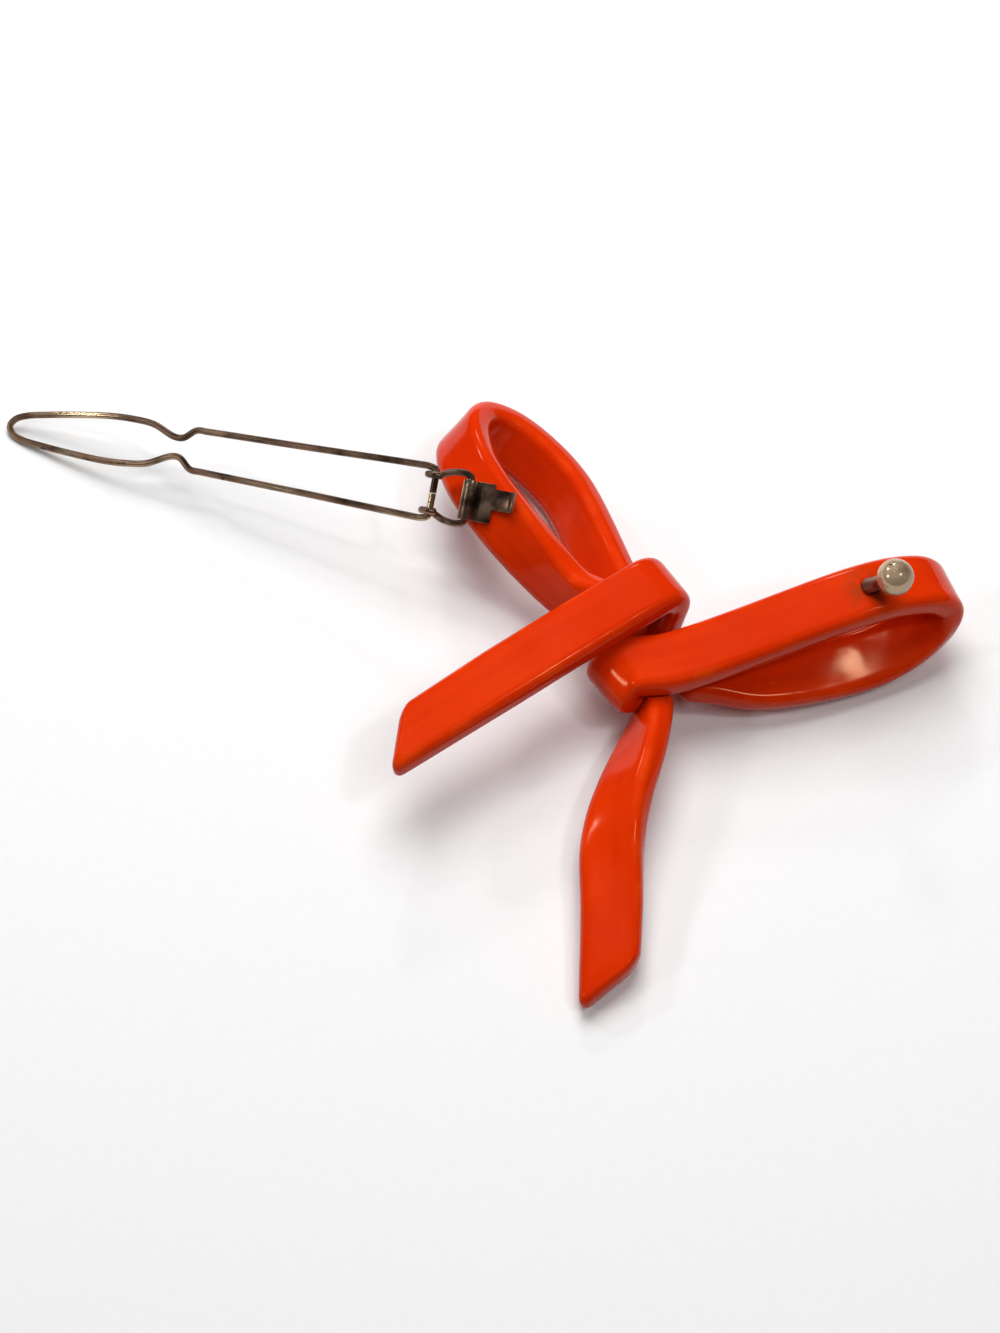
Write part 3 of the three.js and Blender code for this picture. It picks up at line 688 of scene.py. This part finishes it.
# %% The strap
TONGUE_WIDTH = 2.2
TONGUE_SHIFT = 0.5
LIP_TURN = 110
LIP_STEPS = 12
KNUCKLE_TURN = 285
KNUCKLE_STEPS = 30
STRAP_SMOOTH_ANGLE = 60
EDGE_BREAK = 0.07
BREAK_SEGMENTS = 2
BREAK_ANGLE = 50  # edges sharper than this are broken
sheet_middle = SEAT_GAP + SHEET / 2
knuckle_height = SEAT_GAP + knuckle_outer
lip_height = SEAT_GAP + LIP_RADIUS + SHEET


def drawn(bm, edges, reach):
    """Draws edges out by a reach along x and gives the edges at the new end."""
    made = bmesh.ops.extrude_edge_only(bm, edges=edges)["geom"]
    bmesh.ops.translate(bm, vec=(reach, 0, 0), verts=[g for g in made if isinstance(g, bmesh.types.BMVert)])
    return [g for g in made if isinstance(g, bmesh.types.BMEdge) and runs_along(g, Y)]


def rolled(bm, edges, x, z, degrees, steps):
    """Spins edges about the pivot's direction through x and z."""
    points = list({v for e in edges for v in e.verts})
    bmesh.ops.spin(bm, geom=points + edges, cent=(x, 0, z), axis=(0, 1, 0), dvec=(0, 0, 0),
                   angle=radians(degrees), steps=steps, use_merge=False)


def strap_sheet():
    """The strap's middle sheet, without thickness."""
    bm = bmesh.new()
    tongue_sides = (TONGUE_SHIFT - TONGUE_WIDTH / 2, TONGUE_SHIFT + TONGUE_WIDTH / 2)
    places = (-LEAF_WIDTH / 2, *tongue_sides, LEAF_WIDTH / 2)
    points = [bm.verts.new((leaf_end, y, sheet_middle)) for y in places]
    row = [bm.edges.new(pair) for pair in zip(points, points[1:])]
    leaf = drawn(bm, row, -LEAF_LENGTH)
    rolled(bm, leaf, -KNUCKLE_PLACE, knuckle_height, KNUCKLE_TURN, KNUCKLE_STEPS)
    tongue = drawn(bm, [row[1]], TONGUE_LENGTH)
    rolled(bm, tongue, leaf_end + TONGUE_LENGTH, lip_height, -LIP_TURN, LIP_STEPS)
    bmesh.ops.remove_doubles(bm, verts=bm.verts, dist=WELD)
    bmesh.ops.transform(bm, matrix=hinge_frame, verts=bm.verts)
    return bm


strap = finished(strap_sheet(), "hinge_strap_sheet", "bow", "hinge_strap", STRAP_SMOOTH_ANGLE)
thick = strap.modifiers.new("sheet thickness", "SOLIDIFY")
thick.thickness = SHEET * MM
thick.offset = 0
broken = strap.modifiers.new("broken edges", "BEVEL")
broken.width = EDGE_BREAK * MM
broken.segments = BREAK_SEGMENTS
broken.limit_method = "ANGLE"
broken.angle_limit = radians(BREAK_ANGLE)

# %% [markdown]
# The ring and the clip are bent from round wire. A circle of points is drawn along a smooth line, one short
# step at a time, as wire is drawn through a die. Each point remembers where it lies on the straight wire, so
# the die's fine lines and the patches of wear run along it.

# %% Bent wire
WIRE_SIDES = 16
WIRE_STEP = 0.3
SAMPLES_PER_POINT = 40


def even_line(points):
    """Points, tangents and lengths at even steps along the smooth line through points."""
    spread = np.linspace(0, 1, SAMPLES_PER_POINT * len(points))
    line = np.array([on_curve(points, t, False) for t in spread])
    run = np.concatenate([[0], np.cumsum(np.linalg.norm(np.diff(line, axis=0), axis=1))])
    steps = np.linspace(0, run[-1], ceil(run[-1] / WIRE_STEP) + 1)
    even = np.stack([np.interp(steps, run, line[:, k]) for k in range(3)], axis=1)
    tangent = np.gradient(even, axis=0)
    return [Vector(p) for p in even], [Vector(t).normalized() for t in tangent], steps


def wire_along(points, place):
    """A round wire along a smooth line, with flat cut ends, put in its frame."""
    line, tangents, runs = even_line(points)
    bm = bmesh.new()
    stock_place = bm.verts.layers.float_vector.new("stock_place")
    made = bmesh.ops.create_circle(bm, cap_ends=True, segments=WIRE_SIDES, radius=WIRE / 2)["verts"]
    face = bm.faces[:][0]
    round_places = [v.co.copy() for v in made]
    side = tangents[0].orthogonal()
    for step, (middle, tangent, run) in enumerate(zip(line, tangents, runs)):
        side = (side - tangent * side.dot(tangent)).normalized()
        if step > 0:
            geom = bmesh.ops.extrude_face_region(bm, geom=[face], use_keep_orig=step == 1)["geom"]
            face = [g for g in geom if isinstance(g, bmesh.types.BMFace)][0]
            made = list(face.verts)
        turn = frame_of(side, tangent.cross(side), tangent, middle)
        for v, flat in zip(made, round_places):
            v.co = turn @ flat
            v[stock_place] = Vector((flat.x, flat.y, run)) * MM
    bmesh.ops.transform(bm, matrix=place, verts=bm.verts)
    return bm


print("wire of %.2f mm with %d sides" % (WIRE, WIRE_SIDES))

# %% [markdown]
# The ring has an eye round the clip at each side and a straight bar in the knuckle. Only one side of it is
# written down, and the other is its mirror image.

# %% The ring
RING_REACH = 3.8  # from the knuckle to the eyes
RING_HALF = LEAF_WIDTH / 2 + RING_ASIDE
RING_CORNER = 0.45
EYE_PLACE = 1.9
EYE_TURN = 230
EYE_STEPS = 8
EYE_EASE = 1.6  # turning gaps between an eye and the clip
eye_radius = WIRE + EYE_EASE * TURNING_GAP


def ring_line():
    """The ring's middle line in its own frame."""
    side = []
    for i in range(EYE_STEPS + 1):
        angle = radians(90 - EYE_TURN + EYE_TURN * i / EYE_STEPS)
        side.append(Vector((RING_REACH + eye_radius * cos(angle), EYE_PLACE, eye_radius * sin(angle))))
    side += [
        Vector((RING_REACH * 0.66, EYE_PLACE + (RING_HALF - EYE_PLACE) * 0.7, eye_radius * 0.55)),
        Vector((RING_REACH * 0.36, RING_HALF, eye_radius * 0.15)),
        Vector((RING_CORNER * 1.5, RING_HALF - RING_CORNER * 0.05, 0)),
        Vector((RING_CORNER * 0.4, RING_HALF - RING_CORNER * 0.4, 0)),
        Vector((0, RING_HALF - RING_CORNER, 0)),
        Vector((0, RING_HALF - RING_CORNER * 1.8, 0)),
        Vector((0, LEAF_WIDTH / 4, 0)),
    ]
    return side + [Vector((p.x, -p.y, p.z)) for p in reversed(side)]


ring = finished(wire_along(ring_line(), ring_frame), "hinge_ring_wire", "ring", "hinge_ring")

# %% [markdown]
# The clip is a long loop: a bar that the eyes hold, two legs, a pinched neck, and a catch loop that is bent a
# little aside at its tip. It is as long as it must be to reach the catch when the ring is closed.
# Swung open, as it lies here, it dips until the first of its wire meets the table.

# %% The clip
CLIP_FOOT = 2.75  # half widths, from the foot to the eye of the catch loop
CLIP_SHOULDER = 2.15
CLIP_NECK = 1.05
CLIP_EYE = 2.5
FOOT_BEND = 0.9
CLIP_END_GAP = 0.06
CLIP_SKEW = 1.0
CATCH_OVERHANG = 8.4  # from the post to the tip, latched
CATCH_LOOP = 21.0
NECK_BEND = 2.0
EYE_WIDEST = 8.4  # from the neck to the widest of the catch loop
TIP_BEND = 4.4
LATCH_HEIGHT = 2.2
RING_CLOSED = radians(pivots["ring_swing"]["range_deg"][1])

swing = Matrix.Rotation(RING_CLOSED, 4, "Y")
closed_end = ring_frame @ swing @ Vector((RING_REACH, 0, 0))
to_latch = catch_base + post_way * LATCH_HEIGHT - closed_end
clip_length = (to_latch - pivot_axis * to_latch.dot(pivot_axis)).length + CATCH_OVERHANG
neck = clip_length - CATCH_LOOP


def clip_line():
    """The clip's middle line in its own frame."""
    half = [
        (0, CLIP_END_GAP / 2),
        (0, CLIP_FOOT / 2),
        (0, CLIP_FOOT - FOOT_BEND * 0.6),
        (FOOT_BEND * 0.25, CLIP_FOOT - FOOT_BEND * 0.2),
        (FOOT_BEND, CLIP_FOOT),
        (FOOT_BEND * 3, CLIP_FOOT),
        (neck / 2, (CLIP_FOOT + CLIP_SHOULDER) / 2),
        (neck - NECK_BEND * 1.7, CLIP_SHOULDER * 1.03),
        (neck - NECK_BEND, CLIP_SHOULDER),
        (neck - NECK_BEND * 0.27, CLIP_NECK * 1.06),
        (neck + NECK_BEND * 0.27, CLIP_NECK * 1.03),
        (neck + NECK_BEND * 1.65, CLIP_NECK + 0.77 * (CLIP_EYE - CLIP_NECK)),
        (neck + EYE_WIDEST * 0.67, CLIP_EYE * 0.98),
        (neck + EYE_WIDEST, CLIP_EYE),
        (neck + EYE_WIDEST * 1.55, CLIP_EYE * 0.86),
        (clip_length - TIP_BEND, CLIP_EYE * 0.7),
        (clip_length - TIP_BEND * 0.41, CLIP_EYE * 0.54),
        (clip_length - TIP_BEND * 0.11, CLIP_EYE * 0.32),
    ]

    def aside(x):
        return -CLIP_SKEW * max(0.0, (x - neck) / CATCH_LOOP)

    near = [Vector((x, aside(x) + y, 0)) for x, y in half]
    far = [Vector((x, aside(x) - y, 0)) for x, y in reversed(half)]
    return near + [Vector((clip_length, aside(clip_length), 0))] + far


def dip_to_table(line):
    """The angle by which a level clip swings down until the first of its wire meets the table."""
    steep = pivot_axis.cross(UP).length
    outer = [p for p in line if p.x > clip_length / 2]
    return asin(min((clip_pivot.z + pivot_axis.z * p.y - WIRE / 2) / (p.x * steep) for p in outer))


clip_dip = Matrix.Rotation(-dip_to_table(clip_line()), 4, "Y")
clip_frame = ring_frame @ Matrix.Translation((RING_REACH, 0, 0)) @ clip_dip
clip = finished(wire_along(clip_line(), clip_frame), "clip_wire_loop", "clip", "clip_wire")
print("clip of %.2f mm" % clip_length)

# %% [markdown]
# Every finish is a small net of nodes. It could be wired by hand in the editor. These helpers add a node and
# give back what it puts out, so that each finish below reads as a list of what is laid over what.

# %% Helpers for nodes
def feed(tree, socket, value):
    """Links an output to a socket, or sets the socket to a plain value."""
    if isinstance(value, bpy.types.NodeSocket):
        tree.links.new(value, socket)
    else:
        socket.default_value = value


def put(tree, kind, inputs, **settings):
    """Adds a node with these settings and inputs."""
    made = tree.nodes.new(kind)
    for name, value in settings.items():
        setattr(made, name, value)
    for key, value in inputs.items():
        feed(tree, made.inputs[key], value)
    return made


def noise(tree, place, scale, detail=3.0):
    """Cloudy noise from 0 to 1, with a scale in clouds per metre."""
    made = put(tree, "ShaderNodeTexNoise", {"Vector": place, "Scale": scale, "Detail": detail})
    return made.outputs["Fac"]


def step(tree, value, low, high):
    """A soft step from 0 at low to 1 at high."""
    inputs = {"Value": value, "From Min": low, "From Max": high}
    return put(tree, "ShaderNodeMapRange", inputs, interpolation_type="SMOOTHSTEP").outputs["Result"]


def reckoned(tree, operation, a, b=0.0):
    """What a Math node makes of its values."""
    return put(tree, "ShaderNodeMath", {0: a, 1: b}, operation=operation).outputs[0]


def plus(tree, a, b):
    """One value added to another."""
    return reckoned(tree, "ADD", a, b)


def minus(tree, a, b):
    """One value taken from another."""
    return reckoned(tree, "SUBTRACT", a, b)


def times(tree, a, b):
    """One value times another."""
    return reckoned(tree, "MULTIPLY", a, b)


def larger(tree, a, b):
    """The larger of two values."""
    return reckoned(tree, "MAXIMUM", a, b)


def over(tree, mask, under, top):
    """One colour laid over another by a mask."""
    return put(tree, "ShaderNodeMix", {0: mask, 6: under, 7: top}, data_type="RGBA").outputs[2]


def scaled(tree, place, x, y, z):
    """A place scaled differently along each axis, which draws a pattern out."""
    return put(tree, "ShaderNodeVectorMath", {0: place, 1: (x, y, z)}, operation="MULTIPLY").outputs[0]


def own_place(tree):
    """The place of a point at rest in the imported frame, in metres."""
    return put(tree, "ShaderNodeTexCoord", {}).outputs["Object"]


def remembered(tree, name):
    """What each point remembers under a name, such as its place in the straight stock."""
    return put(tree, "ShaderNodeAttribute", {}, attribute_name=name).outputs


# %% [markdown]
# A finish is a material with one shader. What several finishes share is kept as a node group with named
# sockets, so that it is built once and each finish gives it its own values.

# %% Helpers for groups and finishes
def new_group(name, inputs, outputs):
    """An empty node group with named sockets."""
    group = bpy.data.node_groups.new(name, "ShaderNodeTree")
    for label, kind in inputs.items():
        group.interface.new_socket(name=label, in_out="INPUT", socket_type=kind)
    for label, kind in outputs.items():
        group.interface.new_socket(name=label, in_out="OUTPUT", socket_type=kind)
    return group, group.nodes.new("NodeGroupInput").outputs, group.nodes.new("NodeGroupOutput").inputs


def grouped(tree, group, inputs):
    """Places a node group in a material."""
    return put(tree, "ShaderNodeGroup", inputs, node_tree=group).outputs


def new_finish(name):
    """A material with its node tree and its shader."""
    material = bpy.data.materials.new(name)
    material.use_nodes = True
    return material, material.node_tree, material.node_tree.nodes["Principled BSDF"]


def bumped(tree, shader, height, depth):
    """Raises a height of 1 by a depth in metres."""
    bump = put(tree, "ShaderNodeBump", {"Height": height, "Distance": depth})
    tree.links.new(bump.outputs["Normal"], shader.inputs["Normal"])


# %% [markdown]
# Years in a drawer leave hair-fine scratches and dull, greasy patches on plastic and brass alike.
# A scratch is drawn where stretched noise crosses its middle value, which gives long thin lines that wander.
# Two sets at different slants look less combed than one. Every finish of the barrette shares this group.

# %% Handling marks
VECTOR, NUMBER, COLOUR = "NodeSocketVector", "NodeSocketFloat", "NodeSocketColor"
SCRATCH_STRETCH = 0.07
SCRATCH_WIDTH = 0.012
handling, given, gives = new_group(
    "handling marks", {"Place": VECTOR}, {"Scratches": NUMBER, "Haze": NUMBER})


def scratch_lines(place, turn, scale):
    """Thin lines along one slant."""
    slanted = put(handling, "ShaderNodeMapping", {"Vector": place, "Rotation": turn}).outputs[0]
    drawn_out = scaled(handling, slanted, 1, 1, SCRATCH_STRETCH)
    off_middle = minus(handling, noise(handling, drawn_out, scale, 1), 0.5)
    off_middle = reckoned(handling, "ABSOLUTE", off_middle)
    return minus(handling, 1.0, step(handling, off_middle, 0.0, SCRATCH_WIDTH))


long_lines = scratch_lines(given["Place"], (0.1, 0.2, 0), 900)
cross_lines = scratch_lines(given["Place"], (0.9, 0.5, 0.3), 700)
both = larger(handling, long_lines, cross_lines)
patchy = step(handling, noise(handling, given["Place"], 260), 0.48, 0.66)
feed(handling, gives["Scratches"], times(handling, both, patchy))
greasy = noise(handling, given["Place"], 170, 5)
feed(handling, gives["Haze"], step(handling, greasy, 0.38, 0.72))
print("handling marks:", len(handling.nodes), "nodes")

# %% [markdown]
# The plastic is a cast sheet, sawn into bar, bent warm and polished. It is a strong orange red that runs in
# faint streaks along the bar, goes a little paler where the edges are worn, and is darker brown in a patch
# beside the catch. The streaks read the place that each point had in the straight bar, so they follow every
# bend. Slow waves in the bump are what hand bending leaves, and they break up the highlights.
# The gloss has an amber tint and a low index. That is a small liberty: dyed plastic glows a little under its
# surface, and with a plain white gloss the tilted faces look chalky.

# %% Orange plastic
DEEP_ORANGE = (0.69, 0.026, 0.0008, 1)
CLEAR_ORANGE = (0.76, 0.035, 0.0010, 1)
WORN_EDGE = (0.88, 0.075, 0.006, 1)
AMBER_GLOSS = (1.0, 0.62, 0.36, 1)
# a darker brown for a patch of the plastic beside the catch post
DARK_BROWN_BY_CATCH = (0.30, 0.045, 0.008, 1)
GLOSS_INDEX = 1.3
POLISH = 0.11
STREAK_SHARE = 0.6
STREAK_STRETCH = 0.1
PATCH_REACH = 4.2 * MM
PATCH_CORE = 0.5 * MM
PATCH_ASIDE = Vector((0.2, 0.5, 0))
WAVE_DEPTH = 0.12 * MM
plastic, tree, shader = new_finish("orange_plastic")
stock = remembered(tree, "stock_place")["Vector"]
rim = remembered(tree, "rim")["Fac"]
place = own_place(tree)
marks = grouped(tree, handling, {"Place": stock})

streaks = noise(tree, scaled(tree, stock, 1, 1, STREAK_STRETCH), 520, 4)
clouds = noise(tree, place, 130, 3)
tone = plus(tree, times(tree, streaks, STREAK_SHARE), times(tree, clouds, 1 - STREAK_SHARE))
colour = over(tree, step(tree, tone, 0.36, 0.62), DEEP_ORANGE, CLEAR_ORANGE)
edge_wear = times(tree, rim, step(tree, noise(tree, stock, 330, 4), 0.42, 0.75))
colour = over(tree, times(tree, edge_wear, 0.6), colour, WORN_EDGE)
# a darker brown patch beside the catch post, set a little to one side of it and broken up by noise
patch_middle = bow_to_frame @ (catch_base - catch_frame.to_3x3() @ PATCH_ASIDE)
off_patch = put(tree, "ShaderNodeVectorMath", {0: place, 1: patch_middle}, operation="DISTANCE")
by_catch = step(tree, off_patch.outputs["Value"], PATCH_REACH, PATCH_CORE)
catch_patch = times(tree, by_catch, step(tree, noise(tree, place, 600, 4), 0.3, 0.7))
colour = over(tree, times(tree, catch_patch, 0.8), colour, DARK_BROWN_BY_CATCH)
feed(tree, shader.inputs["Base Color"], colour)

dull = plus(tree, times(tree, marks["Haze"], 0.06), times(tree, marks["Scratches"], 0.12))
feed(tree, shader.inputs["Roughness"], plus(tree, POLISH, dull))
waves = noise(tree, stock, 210, 1)
bumped(tree, shader, minus(tree, waves, times(tree, marks["Scratches"], 0.02)), WAVE_DEPTH)
shader.inputs["IOR"].default_value = GLOSS_INDEX
shader.inputs["Specular Tint"].default_value = AMBER_GLOSS
for bar in (left_bar, right_bar, front_bar, back_bar):
    bar.data.materials.append(plastic)
print("orange plastic:", len(tree.nodes), "nodes")

# %% [markdown]
# Old brass is never one colour. A brown oxide covers it unevenly, and where hands and hair have rubbed it
# the yellow metal shows. There are small black specks and pale, chalky smudges too. One group gives the
# colour, the roughness and the height of such brass. How much bare metal shows is an input, because the ball
# and the wire are worn brighter than the strap.

# %% Ageing of brass
DARK_OXIDE = (0.045, 0.024, 0.017, 1)
BROWN_BRASS = (0.25, 0.150, 0.098, 1)
BARE_BRASS = (0.58, 0.42, 0.26, 1)
PALE_SMUDGE = (0.46, 0.39, 0.32, 1)
OXIDE_ROUGHNESS = 0.32
BARE_SMOOTHER = 0.16
SPECK_ROUGHER = 0.2
ageing, given, gives = new_group(
    "brass ageing",
    {"Place": VECTOR, "Bare": NUMBER},
    {"Color": COLOUR, "Roughness": NUMBER, "Height": NUMBER})
blotches = noise(ageing, given["Place"], 480, 5)
brown = step(ageing, blotches, 0.34, 0.60)
patches = plus(ageing, noise(ageing, given["Place"], 190, 4), given["Bare"])
bare = step(ageing, patches, 0.58, 0.80)
specks = step(ageing, noise(ageing, given["Place"], 1500, 2), 0.66, 0.74)
mirrored_place = scaled(ageing, given["Place"], -1, 1, 1)
smudges = step(ageing, noise(ageing, mirrored_place, 330, 5), 0.58, 0.74)
tint = over(ageing, brown, DARK_OXIDE, BROWN_BRASS)
tint = over(ageing, bare, tint, BARE_BRASS)
tint = over(ageing, times(ageing, smudges, 0.3), tint, PALE_SMUDGE)
tint = over(ageing, times(ageing, specks, 0.8), tint, DARK_OXIDE)
feed(ageing, gives["Color"], tint)
rough = minus(ageing, OXIDE_ROUGHNESS, times(ageing, bare, BARE_SMOOTHER))
rough = plus(ageing, rough, times(ageing, specks, SPECK_ROUGHER))
feed(ageing, gives["Roughness"], rough)
grain = noise(ageing, given["Place"], 2600, 3)
feed(ageing, gives["Height"], minus(ageing, grain, specks))
print("brass ageing:", len(ageing.nodes), "nodes")

# %% [markdown]
# Three finishes share that group. On the wire it follows the wire's length and carries fine die lines.
# The strap, its tack and the post are darker. The ball is the brightest, but a film of dirt hides much of its
# metal, so it counts as less metallic than the rest.

# %% Brass finishes
GRAIN_DEPTH = 0.010 * MM


def brass_finish(name, drawn_wire, bare, metal, pieces):
    """Old brass for some pieces, on the wire's own length or on the place in the bow."""
    material, tree, shader = new_finish(name)
    if drawn_wire:
        stock = remembered(tree, "stock_place")["Vector"]
        place = scaled(tree, stock, 1, 1, 0.4)
        lines = noise(tree, scaled(tree, stock, 1, 1, 0.02), 5200, 1)
    else:
        place = own_place(tree)
        lines = noise(tree, scaled(tree, place, 1, 0.1, 1), 2400, 2)
    aged = grouped(tree, ageing, {"Place": place, "Bare": bare})
    marks = grouped(tree, handling, {"Place": place})
    feed(tree, shader.inputs["Base Color"], aged["Color"])
    feed(tree, shader.inputs["Roughness"], plus(tree, aged["Roughness"], times(tree, marks["Haze"], 0.08)))
    raised = plus(tree, aged["Height"], times(tree, lines, 0.8))
    bumped(tree, shader, minus(tree, raised, marks["Scratches"]), GRAIN_DEPTH)
    shader.inputs["Metallic"].default_value = metal
    for piece in pieces:
        piece.data.materials.append(material)
    print(name, "on", [piece.name for piece in pieces])


brass_finish("old_brass_wire", drawn_wire=True, bare=0.12, metal=0.9, pieces=[ring, clip])
brass_finish("dark_brass_sheet", drawn_wire=False, bare=0.04, metal=0.9, pieces=[strap, tack, post])
brass_finish("olive_brass_bead", drawn_wire=False, bare=0.24, metal=0.4, pieces=[ball])

# %% [markdown]
# Two broad panels give the plain light. The stronger one stands behind the bow, so the shadow falls towards
# the viewer, and the other fills in from the front right. Neither is mirrored, because a broad panel in a
# polished flat would wash out its colour. The glints are left to four small lamps: one to the right for the
# inside of the right loop, and three low at the back and the left for the tails, the wire and the knuckle.
# The room around is dim, which keeps the plastic's colour deep.

# %% Lamps
LAMP_DISTANCE = 0.6
ROOM_STRENGTH = 0.045
WHITE = (1, 1, 1, 1)


def lamp(name, azimuth, elevation, size, power, distance=LAMP_DISTANCE):
    """A round soft lamp that faces the bow from a direction, in degrees, and a distance, in metres."""
    light = bpy.data.lights.new(name, "AREA")
    light.shape = "DISK"
    light.size = size
    light.energy = power
    holder = bpy.data.objects.new(name, light)
    scene.collection.objects.link(holder)
    holder.location = view_target + slanted_way(radians(azimuth), radians(elevation)) * distance
    holder.rotation_euler = (view_target - holder.location).to_track_quat("-Z", "Y").to_euler()
    return holder


back_panel = lamp("back_panel", azimuth=200, elevation=66, size=0.28, power=1.15, distance=0.38)
front_panel = lamp("front_panel", azimuth=55, elevation=64, size=0.3, power=0.65)
for panel in (back_panel, front_panel):
    panel.visible_glossy = False
lamp("right_lamp", azimuth=82, elevation=61, size=0.05, power=0.28)
lamp("back_lamp", azimuth=198, elevation=33, size=0.07, power=0.3)
lamp("left_lamp", azimuth=244, elevation=37, size=0.06, power=0.32)
lamp("low_left_lamp", azimuth=300, elevation=36, size=0.07, power=0.3)
room = bpy.data.worlds.new("dim_room")
room.use_nodes = True
scene.world = room
room_light = room.node_tree.nodes["Background"]
room_light.inputs["Color"].default_value = WHITE
room_light.inputs["Strength"].default_value = ROOM_STRENGTH
print("lamps:", [light.name for light in bpy.data.lights])

# %% [markdown]
# The floor is a pale sheet of paper that keeps the shadow. It is near white where the camera or a mirroring
# surface sees it, and greyer for the light that it throws back at the bow, so that the underside stays dark.
# Away from the bow, beyond the lamps' reach, it turns into plain white, which serves low views.

# %% Floor
FLOOR_HALF = 4
FLOOR_DROP = 0.1 * MM
PAPER_LIGHT = (0.97, 0.97, 0.97, 1)
PAPER_DARK = (0.93, 0.93, 0.93, 1)
PAPER_UNSEEN = (0.55, 0.55, 0.55, 1)
BLACK = (0, 0, 0, 1)
WHITE_STARTS = 0.09
WHITE_WHOLE = 0.40
bm = bmesh.new()
bmesh.ops.create_grid(bm, x_segments=1, y_segments=1, size=FLOOR_HALF)
bmesh.ops.translate(bm, vec=(0, 0, -FLOOR_DROP), verts=bm.verts)
floor_mesh = bpy.data.meshes.new("pale_floor")
bm.to_mesh(floor_mesh)
bm.free()
floor = bpy.data.objects.new("pale_floor", floor_mesh)
scene.collection.objects.link(floor)
paper, tree, shader = new_finish("pale_paper")
floor_place = own_place(tree)
rays = put(tree, "ShaderNodeLightPath", {}).outputs
mirrored = larger(tree, rays["Is Glossy Ray"], rays["Is Transmission Ray"])
seen = larger(tree, rays["Is Camera Ray"], mirrored)
pale = over(tree, noise(tree, floor_place, 900, 3), PAPER_DARK, PAPER_LIGHT)
feed(tree, shader.inputs["Base Color"], over(tree, seen, PAPER_UNSEEN, pale))
from_bow = put(tree, "ShaderNodeVectorMath", {0: floor_place}, operation="LENGTH").outputs["Value"]
far_white = times(tree, step(tree, from_bow, WHITE_STARTS, WHITE_WHOLE), seen)
feed(tree, shader.inputs["Emission Color"], over(tree, far_white, BLACK, WHITE))
shader.inputs["Emission Strength"].default_value = 1
shader.inputs["Roughness"].default_value = 0.9
shader.inputs["Specular IOR Level"].default_value = 0.1
floor.data.materials.append(paper)
print("floor of %d m, with %d nodes" % (2 * FLOOR_HALF, len(tree.nodes)))
